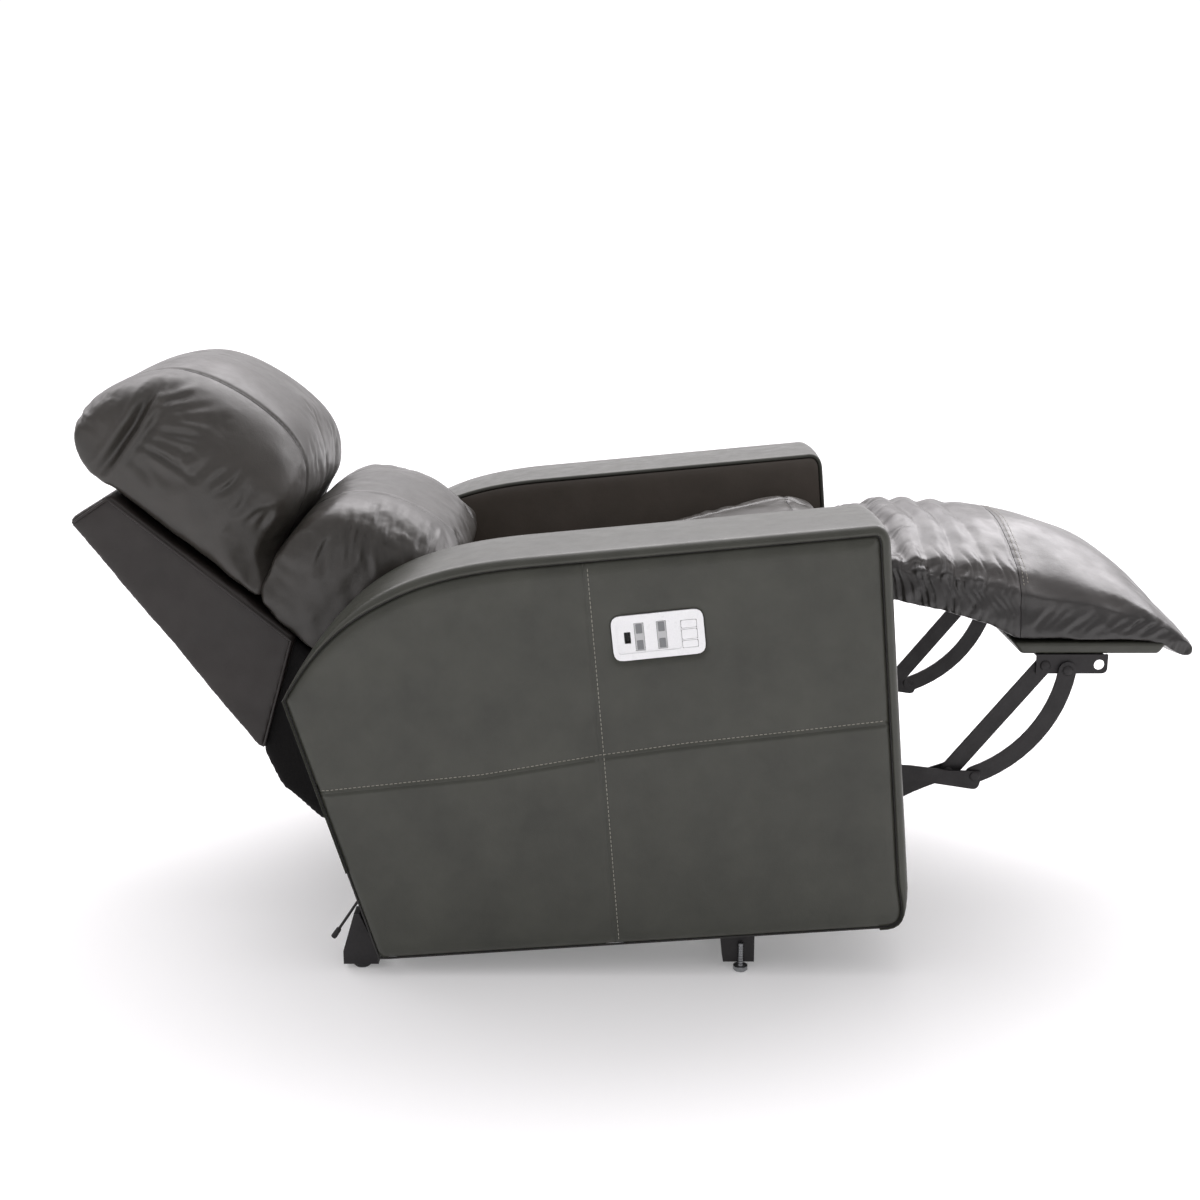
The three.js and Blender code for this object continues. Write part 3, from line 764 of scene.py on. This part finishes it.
def inflate_all():
    """Blows up every noted pillow with one run of the cloth solver, and keeps the result."""
    scene = bpy.context.scene
    for piece, weights, _, slack in CUSHIONS:
        group = piece.vertex_groups.new(name="held")
        for step in range(1, 11):
            members = np.flatnonzero(np.round(weights * 10) == step)
            if len(members):
                group.add(members.tolist(), step / 10, "REPLACE")
        modifier = piece.modifiers.new("cloth", "CLOTH")
        for name, value in CLOTH.items():
            setattr(modifier.settings, name, value)
        modifier.settings.shrink_min = -slack
        modifier.settings.effector_weights.gravity = 0
        modifier.collision_settings.use_collision = False
        modifier.point_cache.frame_end = CLOTH_FRAMES
    for number in range(1, CLOTH_FRAMES + 1):
        scene.frame_set(number)
    graph = bpy.context.evaluated_depsgraph_get()
    results = []
    for piece, *_ in CUSHIONS:
        shaped = piece.evaluated_get(graph)
        results.append(read(shaped.to_mesh()))
        shaped.to_mesh_clear()
    for (piece, _, cap, _), swollen in zip(CUSHIONS, results):
        piece.modifiers.clear()
        rest = read(piece.data)
        move = swollen - rest
        length = np.linalg.norm(move, axis=1)[:, None] + 1e-9
        limit = cap * MM
        write(piece.data, rest + move / length * limit * np.tanh(length / limit))
    scene.frame_set(1)


def shape_pillow(piece, offsets, smoothing=3):
    """Subdivides a pillow and presses its seams and folds into it, within the soft pieces' width."""
    limit = 266.0 * MM
    modified(piece, "SUBSURF", levels=1, render_levels=1)
    modified(piece, "SMOOTH", iterations=smoothing, factor=0.5)
    displace(piece, offsets)
    points = read(piece.data)
    points[:, 0] = np.clip(points[:, 0], -limit, limit)
    write(piece.data, points)


def tie_pillow(piece, body, replaced):
    """Ties a shaped pillow to the frame, and gives its surface for finding places on it."""
    shade_smooth(piece.data)
    attach(piece, body)
    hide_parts(replaced)
    return surface_of(piece)


def finish_pillow(piece, offsets, body, replaced):
    shape_pillow(piece, offsets)
    return tie_pillow(piece, body, replaced)


def on_surface(tree, starts, targets, lift=0.0):
    """Where lines from starts to targets first meet a surface, as side-view points and normals."""
    points, normals = [], []
    for start, target in zip(to_row(starts), to_row(targets)):
        hit, normal, _, _ = tree.ray_cast(Vector(start), Vector(target - start).normalized())
        if hit is not None:
            points.append(hit + normal * lift * MM)
            normals.append(normal)
    return to_side(points), facing_of(np.array(normals))


def level(points):
    """A line of points, evened out."""
    line = points.copy()
    for _ in range(2):
        line[1:-1] = (line[:-2] + 2 * line[1:-1] + line[2:]) / 4
    return line


def sunk_seam(name, tree, starts, targets, body):
    """A dark cord just under a pillow's surface, where lines from starts to targets meet it: painted shade in the
    seam's groove.
    """
    line, _ = on_surface(tree, starts, targets, lift=-0.35)
    tube(name, level(line), 1.1, SEAM_SHADE, body)


def edge_seams(name, tree, around, spine, z, body):
    """A sunk seam at +z and -z along a stretch of a pillow's side profile."""
    path = dense(np.asarray(around, float), 7.0)
    foot = nearest_on(path, spine)[0]
    for side, sign in SIDES:
        across = np.full(len(path), sign * z)
        starts = np.column_stack([foot + (path - foot) * 1.6, across])
        sunk_seam(f"{name}_{side}", tree, starts, np.column_stack([foot, across]), body)


def seam_dip(points, z):
    return -2.6 * bell(np.abs(points[:, 2]), z, 4.5)


# ------------------------------------------------------------------ head pillow
HEAD_SEAM_Z = 160.0
HEAD_PROFILE = [
    (-513, 604), (-488, 660), (-460, 704), (-450, 744), (-472, 788), (-510, 826), (-554, 858), (-601, 882),
    (-650, 893), (-700, 884), (-750, 862), (-790, 834), (-808, 804), (-804, 768), (-788, 736), (-768, 710),
    (-745, 703), (-686, 655), (-608, 590), (-538, 531), (-514, 541),
]
HEAD_SPINE = [(-536, 560), (-616, 626), (-700, 694), (-776, 756)]
SHELL_FACING = (0.635, 0.773)


def head_cover():
    """The bodies on either side of the pillow, the back and the headrest, and a line up the shell from the pillow's
    foot.
    """
    foot = np.array([-610.0, 596.0, 0.0])
    reach = 115 * np.array([*SHELL_FACING, 0.0])
    start, end = tuple(to_row(foot)[0]), tuple(to_row(foot + reach)[0])
    return {"a": "back", "b": "headrest", "start": start, "end": end}


def head_folds(p, facing):
    z = np.abs(p[:, 2])
    flank = smoothstep(z, 168, 226)
    across = p[:, :2]
    lobe = crease(across, [(-660, 868), (-682, 838), (-702, 804), (-730, 766), (-764, 722)], 8.0, 12.0)
    lobe += crease(across, [(-648, 850), (-668, 812), (-700, 772), (-724, 740)], 7.0, 4.5)
    rng = np.random.default_rng(11)
    starts, ends = [], []
    for k in range(9):
        root = np.array([-672, 838]) + k * np.array([-5.5, -9.5]) + rng.uniform(-5, 5, 2)
        angle = math.radians(26 - 9.5 * k + rng.uniform(-4, 4))
        starts.append(root + 12 * np.array([math.cos(angle), math.sin(angle)]))
        ends.append(root + rng.uniform(62, 128) * np.array([math.cos(angle), math.sin(angle)]))
    fan = creases(across, starts, ends, 0.18, 6.5, 4.0, 5)
    starts, ends = [], []
    for k in range(7):
        root = np.array([-640, 742]) + k * np.array([21, -17]) + rng.uniform(-8, 8, 2)
        angle = math.radians(rng.uniform(28, 62))
        starts.append(root)
        ends.append(root + rng.uniform(38, 66) * np.array([math.cos(angle), math.sin(angle)]))
    fine = creases(across, starts, ends, 0.3, 6.0, 3.0, 6)
    hem = creases(across, [(-800, 838), (-806, 820), (-786, 850)], [(-765, 818), (-768, 800), (-756, 838)],
                  0.1, 4.0, 2.2, 8)
    soft = 1.8 * ripples(p, 150, 21) + 0.6 * ripples(p, 60, 22) * flank
    top = smoothstep(facing @ (0.5, 0.85, 0), -0.2, 0.3)
    return flank * (lobe + fan + fine + hem) + seam_dip(p, HEAD_SEAM_Z) * top + soft


def head_pillow():
    piece = loft("head_pillow_leather", HEAD_PROFILE, HEAD_SPINE, 250, 0.62, 3.2, 1.5)
    will_inflate(piece, lambda p, n: smoothstep(n @ (-0.2, -0.98, 0), 0.3, 0.8), cap=16)

    def dress():
        tree = finish_pillow(piece, head_folds, head_cover(), "head_pillow")
        edge_seams("head_seam", tree, [(-800, 845), (-745, 880), (-650, 930), (-560, 915), (-470, 850), (-410, 760),
                                       (-425, 700)], HEAD_SPINE, HEAD_SEAM_Z, head_cover())
    return dress


# ------------------------------------------------------------------ back cushion
BACK_SEAM_Z = 130.0
BACK_PROFILE = [
    (-282, 352), (-246, 396), (-256, 450), (-272, 500), (-250, 546), (-226, 574), (-222, 597), (-242, 620),
    (-276, 648), (-316, 669), (-360, 681), (-406, 684), (-448, 668), (-484, 628), (-509, 590), (-522, 524),
    (-410, 420),
]
BACK_SPINE = [(-500, 528), (-420, 456), (-350, 404), (-292, 362)]


def back_folds(p, facing):
    z = np.abs(p[:, 2])
    flank = smoothstep(z, 150, 205)
    rng = np.random.default_rng(4)
    starts, ends = [], []
    for x in np.arange(-440, -215, 12.5):
        foot = np.array([x + rng.uniform(-4, 4), 560 + rng.uniform(0, 30) + 0.1 * (x + 440)])
        starts.append(foot)
        ends.append(foot + np.array([rng.uniform(-8, 22), rng.uniform(55, 100)]))
    pleats = creases(p[:, :2], starts, ends, 0.12, 4.2, 3.4, 9)
    soft = 1.3 * ripples(p, 110, 31) + 0.7 * ripples(p, 40, 32) * flank
    front = smoothstep(facing @ (0.75, 0.66, 0), -0.2, 0.3)
    return flank * pleats + seam_dip(p, BACK_SEAM_Z) * front + soft


def back_cushion():
    piece = loft("back_cushion_leather", BACK_PROFILE, BACK_SPINE, 252, 0.8, 4.5, 2.0)
    will_inflate(piece, lambda p, n: smoothstep(n @ (-0.92, -0.39, 0), 0.2, 0.75), cap=14)

    def dress():
        tree = finish_pillow(piece, back_folds, "back", "back_cushion")
        edge_seams("back_seam", tree, [(-452, 706), (-400, 740), (-330, 745), (-240, 710), (-175, 630), (-190, 560),
                                       (-225, 480)], BACK_SPINE, BACK_SEAM_Z, "back")
    return dress


# ------------------------------------------------------------------ seat cushion
SEAT_PROFILE = [
    (-140, 400), (60, 428), (280, 460), (388, 480), (400, 520), (404, 570), (396, 610), (360, 620), (300, 610),
    (200, 588), (100, 566), (0, 548), (-100, 524), (-142, 506), (-148, 450),
]
SEAT_SPINE = [(-100, 460), (120, 490), (350, 530)]


def seat_folds(p, facing):
    up = smoothstep(facing[:, 1], 0.3, 0.8)
    front_seam = -2.4 * np.exp(-(((p[:, 0] - 330) / 4.5) ** 2)) * up
    sit = -5.0 * np.exp(-(((p[:, 0] - 90) / 150) ** 2) - ((p[:, 2] / 150) ** 2)) * up
    rng = np.random.default_rng(14)
    feet = [np.array([rng.uniform(-60, 300), side * rng.uniform(190, 240)]) for side in (-1, 1) for _ in range(9)]
    ends = [foot + np.array([rng.uniform(-20, 30), -np.sign(foot[1]) * rng.uniform(40, 90)]) for foot in feet]
    tucks = creases(p[:, [0, 2]], feet, ends, 0.2, 6.0, 1.8, 15)
    return front_seam + sit + up * (seam_dip(p, 150.0) + tucks) + 1.2 * ripples(p, 120, 41)


def seat_cushion():
    piece = loft("seat_cushion_leather", SEAT_PROFILE, SEAT_SPINE, 257, 0.8, 3.5, 2.0, voxel=7.0)
    will_inflate(piece, lambda p, n: smoothstep(-n[:, 1], 0.2, 0.75), cap=12)

    def dress():
        tree = finish_pillow(piece, seat_folds, "chassis", "seat_cushion")
        edge_seams("seat_seam", tree, [(-60, 600), (150, 650), (330, 690), (410, 690), (450, 600), (440, 530)],
                   SEAT_SPINE, 150.0, "chassis")
        reach = np.linspace(-235, 235, 60)
        starts, targets = [(330, 700, z) for z in reach], [(330, 560, z) for z in reach]
        sunk_seam("seat_front_seam", tree, starts, targets, "chassis")
    return dress


# ------------------------------------------------------------------ footrest
FOOT_SEAM_X = 651.3
FOOT_PROFILE = [
    (412, 538), (450, 527), (496, 517), (549, 506), (600, 489), (626, 476), (650, 469), (720, 468), (800, 467),
    (866, 462), (886, 444), (902, 431), (922, 432), (935, 448), (933, 468), (912, 496), (880, 525), (840, 557),
    (796, 582), (752, 601), (700, 617), (655, 626), (600, 631), (560, 633), (520, 635), (480, 636), (444, 631),
    (414, 612), (408, 574),
]
FOOT_SPINE = [(409, 548), (520, 524), (600, 498), (651, 474), (760, 471), (860, 466), (914, 450)]


def apron_folds(p, facing):
    z = np.abs(p[:, 2])
    flank = smoothstep(np.abs(facing[:, 2]), 0.45, 0.9)
    top = smoothstep(facing[:, 1], 0.15, 0.7)
    warp = p[:, 0] + 5.0 * ripples(p[:, [0, 1]], 60, 51, waves=5) + 0.18 * (p[:, 1] - 560)
    gather = np.abs(np.sin(math.pi * warp / 12.5)) ** 0.6 - 0.62
    near_pad = 1 - 0.55 * smoothstep(p[:, 0], 560, 640)
    gathers = 5.2 * gather * near_pad * (0.75 + 0.35 * ripples(p[:, [0, 1]], 45, 52, waves=5))
    lead = p[:, 0] - 0.1 * z + 7 * ripples(p[:, [0, 2]], 190, 53, waves=4)
    wave = np.abs(np.sin(math.pi * (lead - 400) / 46.0)) ** 1.3
    broad = 7.5 * (wave - 0.5) * (1 - smoothstep(p[:, 0], 540, 640))
    spill = smoothstep(z, 175, 235) * np.abs(np.sin(math.pi * warp / 25.0)) ** 0.7 * 4.0 * (1 - flank)
    return flank * gathers + top * (broad + spill) + 0.8 * ripples(p, 50, 54)


def pad_folds(p, facing):
    z = np.abs(p[:, 2])
    flank = smoothstep(np.abs(facing[:, 2]), 0.45, 0.9)
    rng = np.random.default_rng(61)
    starts, ends = [], []
    for x in np.arange(668, 905, 12.5):
        base = 486 - 0.06 * (x - 660) + rng.uniform(-3, 5)
        starts.append((x + rng.uniform(-3, 3), base))
        ends.append((x + rng.uniform(24, 42), base + rng.uniform(22, 40) * (1 - (x - 640) / 520)))
    slants = creases(p[:, :2], starts, ends, 0.12, 4.0, 2.4, 62)
    top = smoothstep(facing[:, 1], 0.15, 0.7)
    dents = -1.6 * np.exp(-(((p[:, 0] - 700) / 26) ** 2) - (((z - 175) / 60) ** 2))
    puckers = 0.8 * np.abs(np.sin(math.pi * p[:, 2] / 19.0)) * np.exp(-(((p[:, 0] - 652) / 14) ** 2))
    soft = 1.5 * ripples(p, 130, 63)
    hem = creases(p[:, :2], [(884, 446), (894, 442), (902, 440), (908, 446)],
                  [(892, 470), (900, 468), (908, 464), (914, 460)], 0.1, 2.6, 3.0, 64)
    return flank * (slants + hem) + top * (dents + puckers) + soft


def foot_folds(p, facing):
    """The apron's folds behind the seam, the pad's beyond it, and the seam's own dip."""
    beyond = smoothstep(p[:, 0], FOOT_SEAM_X - 12, FOOT_SEAM_X + 12)
    dip = -2.6 * np.exp(-(((p[:, 0] - FOOT_SEAM_X) / 4.5) ** 2)) * smoothstep(facing[:, 1], -0.5, 0.1)
    return (1 - beyond) * apron_folds(p, facing) + beyond * pad_folds(p, facing) + dip


def part_of(piece, name, wall, keep):
    """The closed part of a pillow behind (keep = -1) or beyond (keep = 1) a plane across the chair."""
    shape = bmesh.new()
    shape.from_mesh(piece.data)
    everything = shape.verts[:] + shape.edges[:] + shape.faces[:]
    bmesh.ops.bisect_plane(shape, geom=everything, plane_co=to_row([(wall, 0, 0)])[0], plane_no=(0, keep, 0),
                           clear_outer=True)
    rim = [edge for edge in shape.edges if edge.is_boundary]
    for edge in rim:
        edge.smooth = False
    bmesh.ops.triangle_fill(shape, edges=rim, use_beauty=True)
    bmesh.ops.recalc_face_normals(shape, faces=shape.faces)
    mesh = bpy.data.meshes.new(name)
    shape.to_mesh(mesh)
    shape.free()
    mesh.materials.append(FOOT)
    part = bpy.data.objects.new(name, mesh)
    bpy.context.scene.collection.objects.link(part)
    return part


def footrest_parts():
    """The leg apron and the footrest pad, blown up as one pillow and parted at their seam."""
    whole = loft("footrest_leather", FOOT_PROFILE, FOOT_SPINE, 256, 0.43, 1.9, 1.0, voxel=5.0, material=FOOT)

    def held(p, n):
        return np.maximum(smoothstep(-n[:, 1], 0.3, 0.8), smoothstep(np.abs(n[:, 0]), 0.85, 0.97))

    will_inflate(whole, held, cap=7, slack=0.015)

    def dress():
        shape_pillow(whole, foot_folds, smoothing=2)
        apron = part_of(whole, "leg_apron_leather", FOOT_SEAM_X - 0.5, -1)
        pad = part_of(whole, "footrest_pad_leather", FOOT_SEAM_X + 0.5, 1)
        bpy.data.objects.remove(whole)
        tie_pillow(apron, "chassis", "leg_apron")
        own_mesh(apron)
        tree = tie_pillow(pad, "ottoman", "footrest_pad")
        reach = np.linspace(-238, 238, 110)
        rows = []
        for x in (FOOT_SEAM_X + 6, FOOT_SEAM_X + 13):
            starts = [(x, 720, z) for z in reach]
            targets = [(x, 480, z) for z in reach]
            rows.append(on_surface(tree, starts, targets, lift=0.1))
        stitches("footrest_stitches", rows, "ottoman")
    return dress


def footrest_board():
    """The wrapped board under the pad, a flat bar with rolled edges, and its dust cover."""
    (rear, bottom, _), (front, top, _) = np.sort(to_side(list(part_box("footrest_board"))), axis=0)
    outline = [(rear + 2, top - 0.4), (rear + 14, bottom), (front - 15, bottom), (front - 2, top - 0.4)]
    board = slab("footrest_board_leather", outline, BOARD_HALF - 0.5, 6.0, GREY, "ottoman")
    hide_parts("footrest_board")
    low, high = bottom - 0.6, bottom + 2
    inner = [(rear + 24, low), (front - 26, low), (front - 26, high), (rear + 24, high)]
    slab("footrest_dust_cover", inner, BOARD_HALF - 14, 0.4, DUST_COVER, "ottoman")


# ------------------------------------------------------------------ back shell
def slab(name, outline, half, bevel, material, body, puff=0.0):
    """A padded board: an outline across the chair, with rounded edges."""
    piece = prism(name, outline, -half, half, material, None)
    modified(piece, "BEVEL", width=bevel * MM, segments=4, limit_method="ANGLE", angle_limit=0.3,
             use_clamp_overlap=True)
    if puff:
        shape = bmesh.new()
        shape.from_mesh(piece.data)
        bmesh.ops.triangulate(shape, faces=[f for f in shape.faces if f.calc_area() > 0.004])
        shape.to_mesh(piece.data)
        shape.free()
        modified(piece, "REMESH", mode="VOXEL", voxel_size=0.007)
        modified(piece, "SMOOTH", iterations=2, factor=0.5)
        displace(piece, lambda p, n: puff * ripples(p, 160, 71) + 0.4 * puff * ripples(p, 60, 72))
    shade_smooth(piece.data)
    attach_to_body(piece, body)
    return piece


def back_shell():
    """The back's padded leather board with a welt along each side, and the cloth cover below it."""
    upper = [(-810, 659), (-746, 700), (-471, 474), (-531, 288)]
    shell = slab("back_shell_leather", upper, SOFT_HALF - 1, 5.0, BROWN, "back", puff=0.8)
    lower = [(-500, 480), (-476, 470), (-296, 322), (-302, 230), (-381, 155), (-443, 172), (-508, 229),
             (-533, 288)]
    base = slab("back_lower_cover", lower, SOFT_HALF - 10, 8.0, DUST_COVER, "back", puff=0.5)
    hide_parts("back_shell")
    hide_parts("back_shell")
    ridge = dense(np.array([(-802, 655), (-747, 692), (-478, 470), (-528, 300)], float), 12.0)
    for side, sign in SIDES:
        line = np.column_stack([ridge, np.full(len(ridge), sign * (SOFT_HALF - 1.2))])
        tube(f"back_shell_welt_{side}", line, 2.2, BROWN, "back")


# ------------------------------------------------------------------ metal, controls
def rivet(name, place, z, sign, body, height):
    """A low domed rivet head with a flat rim on the outer face of a bar."""
    radius, count = 8.0, 20
    section = [(0.45, height * 0.94), (0.8, height * 0.62), (1.0, 0.5), (1.0, 0.0)]
    points = [(place[0], place[1], sign * (z + height))]
    for share, rise in section:
        for turn in np.arange(count) * 2 * math.pi / count:
            points.append((place[0] + radius * share * math.cos(turn),
                           place[1] + radius * share * math.sin(turn), sign * (z + rise)))
    rings = ring_faces(len(section), count)
    faces = [(0, 1 + j, 1 + (j + 1) % count) for j in range(count)]
    faces += [tuple(1 + corner for corner in face) for face in rings[:-2] + rings[-1:]]
    return make_piece(name, points, faces, BLACK_STEEL, body)


def joint_place(name):
    joint = next(j for j in frame["joints"] if j["name"] == name)
    return to_side([joint["pos_m"]])[0][:2]


def build_rivets():
    """Rivet heads on the outer faces of the flat bars, each in its bar's own layer."""
    spots = {
        "knee": (joint_place("straight_link_hinge"), "straight_links", 251.6, 2.4),
        "rear_knee": (joint_place("curved_link_hinge"), "rear_links", 266.3, 1.6),
        "ottoman": (joint_place("ottoman_hinge"), "ottoman", 256.6, 2.4),
        "curved_top": ((727, 422), "curved_links", 261.3, 2.4),
    }
    for name, (place, body, face, height) in spots.items():
        for side, sign in SIDES:
            rivet(f"rivet_{name}_{side}", place, face, sign, body, height=height)


def build_icons():
    """A plain grey inlay at each end of the two rocker keys."""
    face = 448.0
    for body, x in (("recline_key", -26.6), ("headrest_key", 5.4)):
        for end, y in (("up", 12.0), ("down", -12.0)):
            ring = from_plate(rounded_box((3.4, 5.8), 1.2, 24) + (x, y))
            prism(f"icon_{body}_{end}", ring, face + 0.05, face + 0.5, ICON, body,
                  smooth=False)


def dress_frame():
    """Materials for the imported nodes, and a small bevel on the metal and plastic ones."""
    slot_of = {part["node"]: part["material_slot"] for part in frame["record"]["subparts"]}
    for name, node in frame["nodes"].items():
        material = BY_SLOT[slot_of[name]]
        if name.startswith("arm_frame") or name == "seat_front_rail":
            material = DUST_COVER
        node.data.materials.clear()
        node.data.materials.append(material)
        if material in (BLACK_STEEL, SILVER, KEY_GREY):
            bevel = node.modifiers.new("bevel", "BEVEL")
            bevel.width = 0.0006
            bevel.segments = 2
            bevel.limit_method = "ANGLE"
            bevel.angle_limit = math.radians(50)


# ------------------------------------------------------------------ studio
def area_light(name, place, target, size, power):
    """A softbox aimed at a point, unseen by the camera."""
    data = bpy.data.lights.new(name, "AREA")
    data.shape = "RECTANGLE"
    data.size, data.size_y = size
    data.energy = power
    data.color = (1.0, 0.975, 1.0)
    lamp = bpy.data.objects.new(name, data)
    lamp.location = place
    lamp.rotation_euler = (Vector(target) - Vector(place)).to_track_quat("-Z", "Y").to_euler()
    lamp.visible_camera = False
    bpy.context.scene.collection.objects.link(lamp)


def build_world(scene):
    """A pale sky, brighter beyond the chair, with a broad softbox high on that side and a white backdrop."""
    world = bpy.data.worlds.new("studio")
    world.use_nodes = True
    sky = Graph(world.node_tree)
    axes = sky.add("SeparateXYZ", {0: sky.add("TexCoord").outputs["Generated"]}).outputs
    glow = sky.remap(axes["X"], -0.7, 0.9, 0.62, 1.07)
    beyond = sky.remap(axes["X"], 0.2, 0.6, 0.0, 1.0, "SMOOTHSTEP")
    above = sky.remap(axes["Z"], 0.34, 0.6, 0.0, 2.9, "SMOOTHSTEP")
    lit = sky.maths("MULTIPLY_ADD", beyond, above, glow)
    seen = sky.add("LightPath").outputs["Is Camera Ray"]
    background = world.node_tree.nodes["Background"].inputs
    world.node_tree.links.new(sky.maths("MAXIMUM", lit, seen), background["Strength"])
    background["Color"].default_value = (1.0, 0.972, 0.995, 1)
    scene.world = world


def build_floor(scene):
    """Pale paper, darker near the chair and brightening away from it, with a faint glow: painted light that keeps
    the distant floor white, and painted shade near the chair.
    """
    reach = 30.0
    mesh = bpy.data.meshes.new("floor")
    corners = [(-reach, -reach, 0), (reach, -reach, 0), (reach, reach, 0), (-reach, reach, 0)]
    mesh.from_pydata(corners, [], [(0, 1, 2, 3)])
    floor = bpy.data.objects.new("floor", mesh)
    scene.collection.objects.link(floor)
    paper = Surface("floor_paper", roughness=0.95, specular=0.1)
    away = paper.add("VectorMath", {0: paper.place}, operation="LENGTH").outputs["Value"]
    share = paper.remap(away, 0.8, 4.5, 0.0, 1.0)
    # Painted light: the paper glows a little.
    paper.shader.inputs["Emission Color"].default_value = (1, 1, 1, 1)
    paper.shader.inputs["Emission Strength"].default_value = 0.22
    # Painted shade near the chair, painted light farther off.
    near, far = (0.8, 0.8, 0.8, 1), (0.96, 0.96, 0.96, 1)
    mesh.materials.append(paper.finished(paper.ramp(share, (0.0, near), (1.0, far))))


def build_camera(scene):
    """A view from the sitter's right, a little above the chair."""
    camera = bpy.data.objects.new("camera", bpy.data.cameras.new("camera"))
    camera.location = (-2.65, 0.0515, 1.098)
    pitch = math.radians(13.26)
    look = Vector((math.cos(pitch), 0, -math.sin(pitch)))
    camera.rotation_euler = look.to_track_quat("-Z", "Y").to_euler()
    camera.data.lens = 47.88
    camera.data.sensor_width = 36
    scene.collection.objects.link(camera)
    scene.camera = camera


def build_studio():
    scene = bpy.context.scene
    scene.view_settings.view_transform = "Standard"
    build_world(scene)
    build_floor(scene)
    area_light("overhead", (0.75, -0.1, 3.1), (0.1, 0, 0.6), (1.7, 3.8), 28)
    area_light("front", (1.25, -1.75, 1.75), (0, -0.75, 0.55), (1.4, 1.4), 16)
    build_camera(scene)


# ------------------------------------------------------------------ the whole scene
build_studio()
dress_frame()
for side_name, side_sign in SIDES:
    build_arm(side_name, side_sign)
dressing = [head_pillow(), back_cushion(), seat_cushion(), footrest_parts()]
inflate_all()
for dress_up in dressing:
    dress_up()
footrest_board()
back_shell()
build_rivets()
build_icons()
